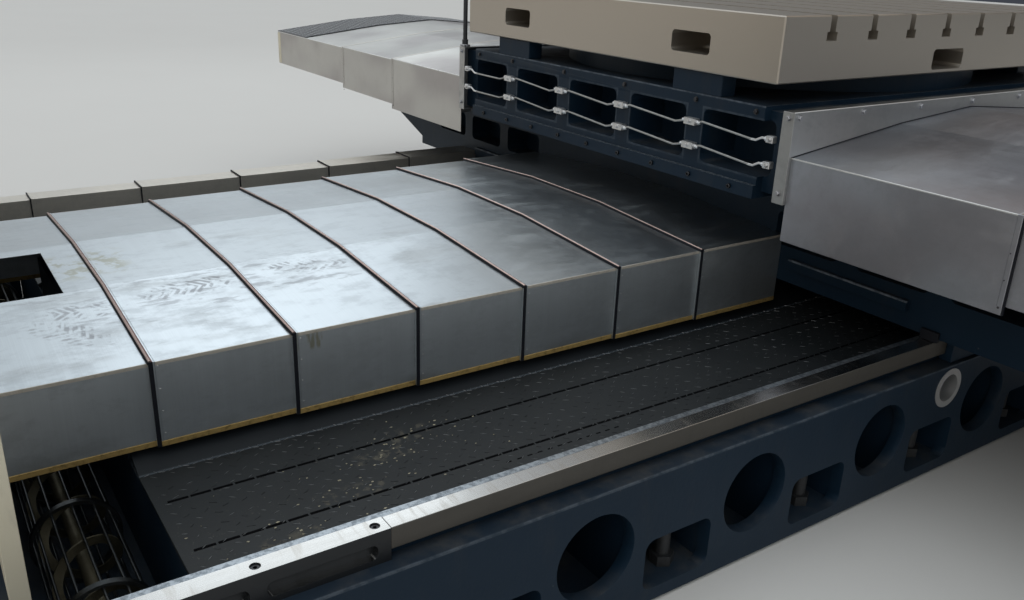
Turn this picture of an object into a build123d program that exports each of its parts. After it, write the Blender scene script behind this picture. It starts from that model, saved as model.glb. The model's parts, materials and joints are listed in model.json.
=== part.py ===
from build123d import *
import math
import os

# Large table-type boring and machining centre, in millimetres.
# X runs across the bed, Y along it from the column to the table, Z up from the floor.
# Y is measured from the first joint of the long cover, and save() moves the origin
# to the middle of the footprint on the floor.

# Long cover over the inner ways, front side
COVER_HALF_WIDTH = 720.0
COVER_FLAT_HALF = 223.0
COVER_TOP_Z = 654.0
COVER_EDGE_Z = 620.6
COVER_BOTTOM_Z = 394.0
COVER_STEP_X = 9.2
COVER_STEP_Z = 4.6
COVER_SHEET = 3.0
COVER_PITCH = 351.5
COVER_OVERLAP = 60.0
COVER_MOVING = 5
LIP_LENGTH = 14.0
LIP_PROUD = 1.6
SLIDE_GAP = 0.3
FRAME_PLATE = 5.0
SHOE_LENGTH = 30.0
SHOE_HEIGHT = 22.0
SHOE_WIDTH = 70.0
PORT_X = (-170.0, 222.0)
PORT_Y = (-420.0, -97.0)

# Long cover, rear side, pushed together
REAR_MOVING = 4
REAR_PITCH = 60.0

# Small cover over the outer way on the far side
SIDE_WIDTH = 104.0
SIDE_TOP_Z = 524.0
SIDE_BOTTOM_Z = 418.0
SIDE_STEP = 4.0
SIDE_SHEET = 2.0
SIDE_PITCH = 436.0
SIDE_FIRST_Y = 18.0
SIDE_MOVING = 4

# Travel of the saddle towards the column, and of the carriage each way
SADDLE_TRAVEL = 1600.0
CARRIAGE_TRAVEL = 800.0

# Table bed
BED_FRONT = -500.0
BED_REAR = 4660.0
BED_HALF_WIDTH = 1440.0
BED_CLEAR = 10.0
LEDGE_Z = 390.0
BED_WALL = 40.0
DECK_Z = 343.0
BED_BODY_HALF = 640.0
BED_BODY_Z = 490.0
SCREW_TRENCH_HALF = 130.0
SCREW_TRENCH_Z = 375.0
BAY_PITCH = 546.0
FIRST_HOLE_Y = 808.0
HOLE_RADIUS = 118.0
HOLE_Z = 214.0
HOLE_CELL = 256.0
POCKET_CELL = 230.0
POCKET_Z = (48.0, 198.0)
POCKET_RADIUS = 30.0
RIB = 30.0
CELL_DEPTH = 360.0
CELL_ROOF = 45.0
CELL_CORNER = 24.0

# Outer ways
WAY_CENTRE_X = 1380.0
WAY_WIDTH = 46.0
WAY_TOP_Z = 467.0
WAY_DEPTH = 52.0
WAY_NECK = 24.0
WAY_LEDGE_WIDTH = 25.0
WAY_LEDGE_DROP = 7.0
BEAM_INNER_X = 1320.0
END_BLOCK_END_Y = 288.0
END_BLOCK_POCKETS = ((-400.0, -225.0), (-185.0, -4.0), (30.0, 259.0))
END_BLOCK_POCKET_Z = (404.0, 438.0)
WAY_SCREW_Y = (-440.0, -230.0, 17.0, 263.0)
WAY_SCREW_HEAD = 9.0

# Inner ways
INNER_WAY_X = 520.0
INNER_WAY_WIDTH = 90.0
INNER_WAY_Z = 540.0

# Trough plates
PLATE_SHEET = 8.0
PLATE_FOLD_X = 763.0
PLATE_RISE_X = 652.0
PLATE_RISE_Z = 385.0

# Chip channel across the bed, and its screw conveyor
CHANNEL_Y = (-338.0, -60.0)
CHANNEL_FLOOR_Z = 70.0
CONVEYOR_Y = -205.0
CONVEYOR_Z = 195.0
CAGE_RADIUS = 104.0
CAGE_RING = 8.0
CAGE_RINGS = 9
CAGE_RODS = 11
CAGE_ROD_RADIUS = 3.5
CAGE_ROD_ARC = (-60.0, 240.0)
CAGE_FOOT = 14.0
CAGE_HALF_LENGTH = 1400.0
COIL_RADIUS = 84.0
COIL_PITCH = 190.0
COIL_WIDTH = 22.0
COIL_THICKNESS = 5.0
COIL_SHAFT = 18.0
SHAFT_ENGAGE = 40.0
GEARBOX_LENGTH = 110.0
GEARBOX_CORNER = 24.0
GEARBOX_FOOT_INSET = 20.0
CONVEYOR_MOTOR_RADIUS = 82.0

# Saddle
SADDLE_FRONT = 2160.0
SADDLE_CENTRE_Y = 2808.0
SADDLE_HALF = 1900.0
SADDLE_TAPER_END = 2500.0
SADDLE_BOTTOM_Z = 477.0
SADDLE_CENTRE_Z = 545.0
SADDLE_TOP_Z = 780.0
BEAM_BOTTOM_Z = 690.0
BEAM_SETBACK = 40.0
X_WAY_OFFSET = 508.0
X_WAY_WIDTH = 80.0
X_WAY_Z = 829.0
FACE_LEDGE_Z = 568.0
FACE_LEDGE = 18.0
FACE_LEDGE_X = (820.0, 1290.0)
SADDLE_POCKETS = 3
SADDLE_POCKET = (270.0, 120.0)
SADDLE_POCKET_X = 870.0
SADDLE_POCKET_PITCH = 340.0
SADDLE_POCKET_Z = 665.0
SADDLE_POCKET_DEPTH = 120.0
SADDLE_POCKET_CORNER = 24.0
KEEPER_GAP = 0.5
KEEPER_HOOK = 18.0
KEEPER_PROUD = 26.0
KEEPER_INSET = 60.0
KEEPER_DROP = 3.0

# Covers along X, over the saddle
X_COVER_HALF = 936.0
X_COVER_EDGE_Z = 987.0
X_COVER_KNEE = 400.0
X_COVER_KNEE_Z = 1055.0
X_COVER_RIDGE_Z = 1086.0
X_COVER_BOTTOM_Z = 722.0
X_COVER_STEP_Y = 9.0
X_COVER_STEP_Z = 5.0
X_COVER_BOTTOM_STEP = 23.0
X_COVER_INNER = 986.0
X_COVER_JOINT_1 = 1710.0
X_COVER_JOINT_2 = 2370.0
X_COVER_END = 3450.0
X_COVER_MID_RATIO = 0.58
X_COVER_LEFT_OVER = (26.0, 49.0)
TREAD_WIDTH = 490.0
TREAD_THICKNESS = 4.0

# Carriage
CARRIAGE_HALF = 860.0
CARRIAGE_TOP_Z = 1125.0
CARRIAGE_POCKETS = 5
CARRIAGE_POCKET = 290.0
CARRIAGE_POCKET_PITCH = 372.0
CARRIAGE_POCKET_Z = (900.0, 1080.0)
CARRIAGE_POCKET_DEPTH = 170.0
CARRIAGE_POCKET_CORNER = 26.0
CARRIAGE_FLANGE_Z = 873.0
CARRIAGE_FLANGE = 12.0
NECK_INSET = 30.0
ADAPTER_DEPTH = 45.0
ADAPTER_SHEET = 6.0
ADAPTER_BOTTOM_Z = 838.0
PIPE_Z = (1031.0, 950.0)
PIPE_RADIUS = 4.0
PIPE_STANDOFF = 12.0
PIPE_DIP = 12.0
FITTING = 26.0
FITTING_HALF_HEIGHT = 11.0

# Rotary table
TABLE_X = 1804.0
TABLE_Y = 1896.0
TABLE_BOTTOM_Z = 1197.0
TABLE_TOP_Z = 1399.0
TABLE_EDGE = 4.0
SLOT_COUNT = 8
SLOT_PITCH = 206.0
SLOT_NECK = 28.0
SLOT_HEAD = 50.0
SLOT_NECK_DEPTH = 50.0
SLOT_DEPTH = 78.0
TABLE_BORE_RADIUS = 40.0
TABLE_BORE_DEPTH = 70.0
WINDOW_X = 515.0
WINDOW_WIDTH = 182.0
WINDOW_HEIGHT = 70.0
WINDOW_Z = 1287.0
END_WINDOW_Y = -64.0
END_WINDOW_Z = 1245.0
WINDOW_DEPTH = 260.0
WINDOW_CORNER = 14.0
ROTOR_RADIUS = 610.0
BEARING_RADIUS = 840.0
CLAMP_X = 552.0
CLAMP_SIZE = (230.0, 66.0)
CLAMP_INSET = 12.0

# Column, headstock and spindle
COLUMN_BASE_FRONT = -1950.0
COLUMN_BASE_HALF = 1010.0
BASE_WINDOWS = 3
BASE_WINDOW = (300.0, 250.0)
BASE_WINDOW_DEPTH = 180.0
BASE_WINDOW_CORNER = 60.0
COLUMN_BACK = -1860.0
COLUMN_TOP_BACK = -1560.0
COLUMN_FACE = -760.0
COLUMN_HALF = 700.0
COLUMN_WINDOW_Z = (1060.0, 1790.0, 2520.0)
COLUMN_WINDOW = (420.0, 520.0)
COLUMN_WINDOW_SETBACK = 400.0
COLUMN_WINDOW_DEPTH = 140.0
COLUMN_WINDOW_CORNER = 90.0
COLUMN_RECESS_DEPTH = 160.0
COLUMN_RECESS_CORNER = 40.0
COLUMN_WAY_X = 430.0
COLUMN_WAY_WIDTH = 110.0
COLUMN_WAY_DEPTH = 46.0
COLUMN_WAY_MARGIN = 150.0
COLUMN_WAY_HEAD = 60.0
SPINDLE_Z = 2150.0
SPINDLE_DOWN = 600.0
SPINDLE_UP = 500.0
HEAD_HALF = 330.0
HEAD_FRONT = -190.0
HEAD_BELOW = 420.0
HEAD_ABOVE = 400.0
HEAD_CORNER = 120.0
HEAD_NOSE_RADIUS = 190.0
HEAD_NOSE_LENGTH = 40.0
HEAD_FOOT = 70.0
HEAD_NUT_Z = (180.0, 330.0)
HEAD_NUT_HALF = 90.0
HEAD_NUT_BACK = 48.0
SLEEVE_RADIUS = 112.0
SLEEVE_NOSE = 24.0
SPINDLE_RADIUS = 67.5
SPINDLE_NOSE = 12.0
SPINDLE_TRAVEL = 500.0
SPINDLE_HOLD = 150.0
TAPER_MOUTH_RADIUS = 34.925
TAPER_DEPTH = 101.8
NOSE_BOLT_CIRCLE = 101.6
NOSE_BOLT_RADIUS = 5.1
NOSE_BOLT_DEPTH = 25.0
KEY_WIDTH = 25.4
KEY_DEPTH = 12.0

# Screws and motors
Y_SCREW_RADIUS = 35.0
Y_SCREW_Z = 436.0
X_SCREW_RADIUS = 28.0
X_SCREW_Z = 748.0
X_TRENCH_HALF = 72.0
X_TRENCH_Z = 692.0
Z_SCREW_RADIUS = 32.0
Z_SCREW_SETBACK = 70.0
SCREW_END_GAP = 10.0
Y_SCREW_BLOCK = (100.0, 50.0)
X_SCREW_BLOCK = (90.0, 44.0)
Z_SCREW_BLOCK = (70.0, 95.0)
Y_NUT_HALF = (118.0, 130.0)
X_NUT_HALF = (110.0, 64.0)
NUT_FLOOR_GAP = 8.0
NUT_CLEARANCE = 0.5
MOTOR_RADIUS = 98.0
MOTOR_LENGTH = 330.0
Z_GEARBOX_HALF = (130.0, 110.0)
Z_GEARBOX_HEIGHT = 90.0
Z_MOTOR_SETBACK = 120.0
MAIN_MOTOR_RADIUS = 150.0
MAIN_MOTOR_BASE = (190.0, 170.0, 60.0)
MAIN_MOTOR_FORWARD = 20.0

# Guard wings
GUARD_Y = (-375.0, -340.0)
GUARD_X = (800.0, 1165.0)
GUARD_Z = (356.0, 1260.0)
GUARD_SHEET = 3.0
GUARD_RETURN = 28.0

# Levelling jacks and lifting bushes
JACK_RADIUS = 20.0
JACK_PAD_RADIUS = 52.0
JACK_INSET = 75.0
JACK_OFFSET = 20.0
JACK_TOP_Z = 162.0
JACK_TIP_RADIUS = 9.0
JACK_TIP = 26.0
JACK_NUT = 30.0
JACK_CLEARANCE = 2.0
FOOT_INSET = 90.0
BUSH_RADIUS = 66.0
BUSH_BORE = 46.0
BUSH_LENGTH = 60.0
BUSH_PROUD = 2.0
BUSH_Y = 2217.0
BUSH_Z = 313.0

# Derived places
ORIGIN_Y = (COLUMN_BASE_FRONT + BED_REAR) / 2
SADDLE_REAR = 2 * SADDLE_CENTRE_Y - SADDLE_FRONT
REAR_FIXED_INNER = SADDLE_TRAVEL / (REAR_MOVING + 1) + COVER_OVERLAP
REAR_LENGTH = REAR_FIXED_INNER + REAR_PITCH
REAR_FIRST_Y = SADDLE_REAR + REAR_LENGTH
COVER_LAST_Y = COVER_MOVING * COVER_PITCH
SIDE_LAST_Y = SIDE_FIRST_Y + SIDE_MOVING * SIDE_PITCH
WAY_OUTER_X = WAY_CENTRE_X + WAY_WIDTH / 2
WAY_INNER_X = WAY_CENTRE_X - WAY_WIDTH / 2
JACK_X = BED_HALF_WIDTH - JACK_INSET
HEAD_BACK = COLUMN_FACE + COLUMN_WAY_DEPTH
HEAD_Z = (SPINDLE_Z - HEAD_BELOW, SPINDLE_Z + HEAD_ABOVE)
COLUMN_WAY_Z = (HEAD_Z[0] - SPINDLE_DOWN - COLUMN_WAY_MARGIN, HEAD_Z[1] + SPINDLE_UP + COLUMN_WAY_MARGIN)
COLUMN_TOP_Z = COLUMN_WAY_Z[1] + COLUMN_WAY_HEAD
X_COVER_MID_HIDDEN = CARRIAGE_TRAVEL * (1 - X_COVER_MID_RATIO) + X_COVER_LEFT_OVER[0]
X_COVER_END_HIDDEN = CARRIAGE_TRAVEL * X_COVER_MID_RATIO + X_COVER_LEFT_OVER[1]


def block(x, y, z):
    """Box from three (low, high) pairs."""
    centre = Pos((x[0] + x[1]) / 2, (y[0] + y[1]) / 2, (z[0] + z[1]) / 2)
    return centre * Box(x[1] - x[0], y[1] - y[0], z[1] - z[0])


def prism_y(points, y):
    """Closed outline of (x, z) points, extruded between two values of y."""
    outline = make_face(Polyline(*points, close=True))
    return extrude(Plane.XZ.offset(-y[1]) * outline, y[1] - y[0])


def prism_x(points, x):
    """Closed outline of (y, z) points, extruded between two values of x."""
    outline = make_face(Polyline(*points, close=True))
    return extrude(Plane.YZ.offset(x[0]) * outline, x[1] - x[0])


def rod_y(radius, x, z, y):
    return extrude(Plane.XZ.offset(-y[1]) * Pos(x, z) * Circle(radius), y[1] - y[0])


def rod_x(radius, y, z, x):
    return extrude(Plane.YZ.offset(x[0]) * Pos(y, z) * Circle(radius), x[1] - x[0])


def rod_z(radius, x, y, z):
    return Pos(x, y, (z[0] + z[1]) / 2) * Cylinder(radius, z[1] - z[0])


def window_y(x, z, width, height, y, corner):
    """Rounded rectangular hole that runs along Y."""
    shape = RectangleRounded(width, height, corner)
    return extrude(Plane.XZ.offset(-y[1]) * Pos(x, z) * shape, y[1] - y[0])


def window_x(y, z, width, height, x, corner):
    """Rounded rectangular hole that runs along X."""
    shape = RectangleRounded(width, height, corner)
    return extrude(Plane.YZ.offset(x[0]) * Pos(y, z) * shape, x[1] - x[0])


def flip_x(shape):
    return mirror(shape, about=Plane.YZ)


def flip_y(shape, y):
    """Mirror image across the plane at y."""
    return mirror(shape, about=Plane.XZ.offset(-y))


def offset_path(path, distance):
    """Open path moved to its left by distance, with mitred corners."""
    normals = []
    for (u0, v0), (u1, v1) in zip(path, path[1:]):
        length = math.hypot(u1 - u0, v1 - v0)
        normals.append((-(v1 - v0) / length, (u1 - u0) / length))
    moved = []
    for i, (u, v) in enumerate(path):
        before = normals[max(i - 1, 0)]
        after = normals[min(i, len(normals) - 1)]
        scale = distance / (1 + before[0] * after[0] + before[1] * after[1])
        moved.append((u + scale * (before[0] + after[0]), v + scale * (before[1] + after[1])))
    return moved


def fold(path, thickness):
    """Outline of a sheet folded along path, with its thickness on the inside."""
    return path + offset_path(path, -thickness)[::-1]


def lip_outline(path, smaller):
    """Outline of the lip that closes the step between a section and the next smaller one."""
    return offset_path(path, LIP_PROUD) + offset_path(smaller, SLIDE_GAP)[::-1]


def cover_path(step):
    """Outside of long cover section number step, from one lower edge over to the other."""
    half = COVER_HALF_WIDTH + (step - 1) * COVER_STEP_X
    rise = (step - 1) * COVER_STEP_Z
    edge, top = COVER_EDGE_Z + rise, COVER_TOP_Z + rise
    left = [(-half, COVER_BOTTOM_Z), (-half, edge), (-COVER_FLAT_HALF, top)]
    return left + [(-x, z) for x, z in left[::-1]]


def cover_frame(step, y):
    """Stiffening plate at a section's hidden end, with shoes that run on the inner ways."""
    inside = offset_path(cover_path(step), -COVER_SHEET)
    plate = prism_y(inside, y)
    body = BED_BODY_HALF + 3 * FRAME_PLATE
    plate -= block((-body, body), (y[0] - 1, y[1] + 1), (0, INNER_WAY_Z + FRAME_PLATE))
    for side in (-1, 1):
        centre = side * INNER_WAY_X
        shoe_x = (centre - SHOE_WIDTH / 2, centre + SHOE_WIDTH / 2)
        shoe_z = (INNER_WAY_Z + SLIDE_GAP, INNER_WAY_Z + SHOE_HEIGHT)
        plate += block(shoe_x, (y[1] - SHOE_LENGTH, y[1]), shoe_z)
    return plate


def cover_section(step, y, has_lip=True, has_frame=True):
    """One section of the long cover, with its lip at the low end of y and its frame at the high end."""
    path = cover_path(step)
    section = prism_y(fold(path, COVER_SHEET), y)
    if has_lip:
        section += prism_y(lip_outline(path, cover_path(step - 1)), (y[0], y[0] + LIP_LENGTH))
    if has_frame:
        section += cover_frame(step, (y[1] - FRAME_PLATE, y[1]))
    return section


def front_cover(number):
    """Sections 0 (fixed) to COVER_MOVING + 1 (on the saddle) on the column side."""
    start = (number - 1) * COVER_PITCH
    if number == 0:
        section = cover_section(0, (BED_FRONT, COVER_OVERLAP), has_lip=False)
        return section - block(PORT_X, PORT_Y, (COVER_EDGE_Z - 40, COVER_TOP_Z + 1))
    if number > COVER_MOVING:
        return cover_section(number, (COVER_LAST_Y, SADDLE_FRONT), has_frame=False)
    return cover_section(number, (start, start + COVER_PITCH + COVER_OVERLAP))


def rear_cover(number):
    """Sections 0 (fixed) to REAR_MOVING + 1 (on the saddle) behind the saddle, largest on the saddle."""
    step = number + 1
    lip_end = REAR_FIRST_Y + (REAR_MOVING + 1 - number) * REAR_PITCH
    if number == 0:
        inner_end = lip_end - REAR_PITCH - REAR_FIXED_INNER
        section = cover_section(step, (inner_end, BED_REAR), has_lip=False)
        return flip_y(section, (inner_end + BED_REAR) / 2)
    y = (lip_end - REAR_LENGTH, lip_end)
    section = cover_section(step, y, has_frame=number <= REAR_MOVING)
    return flip_y(section, (y[0] + y[1]) / 2)


def side_path(step):
    """Outside of a small cover section over the far outer way."""
    grow = step * SIDE_STEP
    inner = -WAY_CENTRE_X + SIDE_WIDTH / 2 + grow
    outer = -WAY_CENTRE_X - SIDE_WIDTH / 2 - grow
    top = SIDE_TOP_Z + grow
    return [(outer, SIDE_BOTTOM_Z), (outer, top), (inner, top), (inner, SIDE_BOTTOM_Z)]


def side_cover(number):
    path = side_path(number)
    start = SIDE_FIRST_Y + (number - 1) * SIDE_PITCH
    y = (start, start + SIDE_PITCH + COVER_OVERLAP)
    if number == 0:
        y = (BED_FRONT, SIDE_FIRST_Y + COVER_OVERLAP)
    if number > SIDE_MOVING:
        y = (SIDE_LAST_Y, SADDLE_FRONT)
    section = prism_y(fold(path, SIDE_SHEET), y)
    if number > 0:
        section += prism_y(lip_outline(path, side_path(number - 1)), (y[0], y[0] + LIP_LENGTH))
    if number <= SIDE_MOVING:
        frame_y = (y[1] - FRAME_PLATE, y[1])
        frame = prism_y(offset_path(path, -SIDE_SHEET), frame_y)
        way_x = (-WAY_OUTER_X - 1, -WAY_INNER_X + WAY_LEDGE_WIDTH + 1)
        frame -= block(way_x, (frame_y[0] - 1, frame_y[1] + 1), (0, WAY_TOP_Z + SLIDE_GAP))
        section += frame
    return section


def x_cover_path(step):
    """Outside of a cover section over the saddle: step 0 on the carriage, 2 fixed at the end."""
    half = X_COVER_HALF - step * X_COVER_STEP_Y
    drop = step * X_COVER_STEP_Z
    bottom = X_COVER_BOTTOM_Z + step * X_COVER_BOTTOM_STEP
    near = [(-half, bottom), (-half, X_COVER_EDGE_Z - drop), (-X_COVER_KNEE, X_COVER_KNEE_Z - drop)]
    path = near + [(0, X_COVER_RIDGE_Z - drop)] + [(-y, z) for y, z in near[::-1]]
    return [(y + SADDLE_CENTRE_Y, z) for y, z in path]


def x_cover_section(step, x):
    return prism_x(fold(x_cover_path(step), COVER_SHEET), x)


def x_cover_lip(step, end):
    """Lip at the outer end of a section, closing down onto the next smaller one."""
    smaller = x_cover_path(step + 1)
    path = x_cover_path(step)
    bottom = smaller[0][1]
    path = [(path[0][0], bottom)] + path[1:-1] + [(path[-1][0], bottom)]
    return prism_x(lip_outline(path, smaller), (end - LIP_LENGTH, end))


def x_cover_inner():
    section = x_cover_section(0, (X_COVER_INNER, X_COVER_JOINT_1))
    return section + x_cover_lip(0, X_COVER_JOINT_1)


def x_cover_middle():
    start = X_COVER_JOINT_1 - X_COVER_MID_HIDDEN
    section = x_cover_section(1, (start, X_COVER_JOINT_2)) + x_cover_lip(1, X_COVER_JOINT_2)
    frame_x = (start, start + FRAME_PLATE)
    frame = prism_x(offset_path(x_cover_path(1), -COVER_SHEET), frame_x)
    saddle_y = (SADDLE_FRONT - 10, SADDLE_REAR + 10)
    cut_x = (frame_x[0] - 1, frame_x[1] + 1)
    frame -= block(cut_x, saddle_y, (0, X_WAY_Z + SLIDE_GAP))
    return section + frame


def x_cover_end():
    """Fixed outer section with its closed end."""
    start = X_COVER_JOINT_2 - X_COVER_END_HIDDEN
    section = x_cover_section(2, (start, X_COVER_END))
    wall_x = (X_COVER_END - COVER_SHEET, X_COVER_END)
    return section + prism_x(x_cover_path(2), wall_x)


def tread_plate():
    """Anti-slip plate that lies on the roof of the fixed outer section."""
    roof = x_cover_path(2)[1:-1]
    lower = offset_path(roof, SLIDE_GAP)
    upper = offset_path(roof, SLIDE_GAP + TREAD_THICKNESS)
    return prism_x(lower + upper[::-1], (X_COVER_END - TREAD_WIDTH, X_COVER_END - 2))


def bed_bays():
    """Middles of the bays that have a round hole, from the chip channel to the rear end."""
    first = FIRST_HOLE_Y - BAY_PITCH
    count = int((BED_REAR - HOLE_CELL / 2 - RIB - first) // BAY_PITCH) + 1
    return [first + i * BAY_PITCH for i in range(count)]


def pocket_bays():
    """Middles of the bays between the round holes, each with a jack."""
    last = BED_REAR - RIB - POCKET_CELL / 2
    return [y + BAY_PITCH / 2 for y in bed_bays() if y + BAY_PITCH / 2 < last]


def bed_outline():
    """Half of the bed's cross-section, on the +X side."""
    neck = WAY_OUTER_X - WAY_NECK + 2
    way_bottom = WAY_TOP_Z - WAY_DEPTH
    ledge = WAY_INNER_X - WAY_LEDGE_WIDTH
    return [
        (0, BED_CLEAR),
        (BED_HALF_WIDTH, BED_CLEAR),
        (BED_HALF_WIDTH, LEDGE_Z),
        (neck, LEDGE_Z),
        (neck, way_bottom),
        (WAY_INNER_X, way_bottom),
        (WAY_INNER_X, WAY_TOP_Z - WAY_LEDGE_DROP),
        (ledge, WAY_TOP_Z - WAY_LEDGE_DROP),
        (ledge, way_bottom - 20),
        (BEAM_INNER_X, way_bottom - 20 - (ledge - BEAM_INNER_X)),
        (BEAM_INNER_X, DECK_Z),
        (BED_BODY_HALF + 10, DECK_Z),
        (BED_BODY_HALF, DECK_Z + 30),
        (BED_BODY_HALF, BED_BODY_Z),
        (SCREW_TRENCH_HALF, BED_BODY_Z),
        (SCREW_TRENCH_HALF, SCREW_TRENCH_Z),
        (0, SCREW_TRENCH_Z),
    ]


def outer_cell(y, length, z):
    """Cored space behind the side wall."""
    inner = BED_HALF_WIDTH - BED_WALL - CELL_DEPTH
    x = (inner, BED_HALF_WIDTH - BED_WALL)
    return block(x, (y - length / 2, y + length / 2), z)


def table_bed():
    bed = prism_y(bed_outline(), (BED_FRONT, BED_REAR))
    wall = (BED_HALF_WIDTH - BED_WALL - 5, BED_HALF_WIDTH + 5)
    roof = DECK_Z - CELL_ROOF
    for y in bed_bays()[1:]:
        bed -= outer_cell(y, HOLE_CELL, (0, roof))
        bed -= rod_x(HOLE_RADIUS, y, HOLE_Z, wall)
    for y in pocket_bays():
        bed -= outer_cell(y, POCKET_CELL, (POCKET_Z[0], POCKET_Z[1] + POCKET_RADIUS))
        height = POCKET_Z[1] - POCKET_Z[0]
        bed -= window_x(y, sum(POCKET_Z) / 2, POCKET_CELL - 4, height, wall, POCKET_RADIUS)
        bed -= rod_z(JACK_RADIUS + JACK_CLEARANCE, JACK_X, y + JACK_OFFSET, (0, POCKET_Z[0] + 1))
    channel = block((-5, BEAM_INNER_X), CHANNEL_Y, (CHANNEL_FLOOR_Z, BED_BODY_Z + 5))
    channel += block((BEAM_INNER_X - 1, BED_HALF_WIDTH + 5), CHANNEL_Y, (CHANNEL_FLOOR_Z, DECK_Z - 15))
    bed -= channel
    bed -= rod_x(BUSH_RADIUS, BUSH_Y, BUSH_Z, (BED_HALF_WIDTH - BUSH_LENGTH, BED_HALF_WIDTH + 5))
    return bed + flip_x(bed)


def lifting_bushes():
    """Bushes for a lifting bar, near the middle of the bed."""
    bush_x = (BED_HALF_WIDTH - BUSH_LENGTH, BED_HALF_WIDTH + BUSH_PROUD)
    bush = rod_x(BUSH_RADIUS, BUSH_Y, BUSH_Z, bush_x)
    bush -= rod_x(BUSH_BORE, BUSH_Y, BUSH_Z, (bush_x[0] - 1, bush_x[1] + 1))
    return [bush, flip_x(bush)]


def levelling_jacks():
    """Pad under each pocket's flange, with its screw through the flange and a nut on top."""
    jacks = []
    for bay in pocket_bays():
        y = bay + JACK_OFFSET
        jack = rod_z(JACK_PAD_RADIUS, JACK_X, y, (0, BED_CLEAR))
        jack += rod_z(JACK_RADIUS, JACK_X, y, (BED_CLEAR, JACK_TOP_Z))
        jack += rod_z(JACK_TIP_RADIUS, JACK_X, y, (JACK_TOP_Z, JACK_TOP_Z + JACK_TIP))
        jack += Pos(JACK_X, y, POCKET_Z[0]) * extrude(RegularPolygon(1.7 * JACK_RADIUS, 6), JACK_NUT)
        jacks += [jack, flip_x(jack)]
    for y in (BED_FRONT + FOOT_INSET, COLUMN_BASE_FRONT + FOOT_INSET, BED_REAR - FOOT_INSET):
        foot = rod_z(JACK_PAD_RADIUS, COLUMN_BASE_HALF - 2 * FOOT_INSET, y, (0, BED_CLEAR))
        jacks += [foot, flip_x(foot)]
    return jacks


def outer_ways():
    """Ground ways that overhang the bed on their outer side."""
    y_near, y_far = (END_BLOCK_END_Y, BED_REAR), (BED_FRONT, BED_REAR)
    z = (WAY_TOP_Z - WAY_DEPTH, WAY_TOP_Z)
    near = block((WAY_INNER_X, WAY_OUTER_X), y_near, z)
    far = block((-WAY_OUTER_X, -WAY_INNER_X), y_far, z)
    return [near, far]


def way_end_block():
    """Length of the near way at the column end, with pockets in its side."""
    z = (WAY_TOP_Z - WAY_DEPTH, WAY_TOP_Z)
    end = block((WAY_INNER_X, WAY_OUTER_X), (BED_FRONT, END_BLOCK_END_Y), z)
    skirt_x = (WAY_OUTER_X - WAY_NECK + 2, WAY_OUTER_X)
    end += block(skirt_x, (BED_FRONT, END_BLOCK_END_Y), (LEDGE_Z, z[0]))
    for low, high in END_BLOCK_POCKETS:
        middle, width = (low + high) / 2, high - low
        height = END_BLOCK_POCKET_Z[1] - END_BLOCK_POCKET_Z[0]
        centre_z = sum(END_BLOCK_POCKET_Z) / 2
        depth_x = (WAY_OUTER_X - 20, WAY_OUTER_X + 1)
        end -= window_x(middle, centre_z, width, height, depth_x, 0.4 * height)
    for y in WAY_SCREW_Y:
        end -= rod_z(WAY_SCREW_HEAD + 2, WAY_CENTRE_X, y, (WAY_TOP_Z - 14, WAY_TOP_Z + 1))
    return end


def way_screws():
    screws = []
    for y in WAY_SCREW_Y:
        head = rod_z(WAY_SCREW_HEAD, WAY_CENTRE_X, y, (WAY_TOP_Z - 14, WAY_TOP_Z - 3))
        socket = extrude(RegularPolygon(0.5 * WAY_SCREW_HEAD, 6), 8)
        screws.append(head - Pos(WAY_CENTRE_X, y, WAY_TOP_Z - 9) * socket)
    return screws


def inner_ways():
    x = (INNER_WAY_X - INNER_WAY_WIDTH / 2, INNER_WAY_X + INNER_WAY_WIDTH / 2)
    way = block(x, (CHANNEL_Y[1] + 12, BED_REAR), (BED_BODY_Z, INNER_WAY_Z))
    return [way, flip_x(way)]


def trough_plates():
    """Chip plates on the decks, each with a second plate that rises towards the middle of the bed."""
    low = [(BEAM_INNER_X - 2, DECK_Z), (PLATE_FOLD_X, DECK_Z), (PLATE_RISE_X, PLATE_RISE_Z)]
    high = offset_path(low, -PLATE_SHEET)
    y = (CHANNEL_Y[1], BED_REAR)
    flat = prism_y(low[:2] + high[1::-1], y)
    rise = prism_y(low[1:] + high[:0:-1], y)
    return [flat, rise, flip_x(flat), flip_x(rise)]


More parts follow.
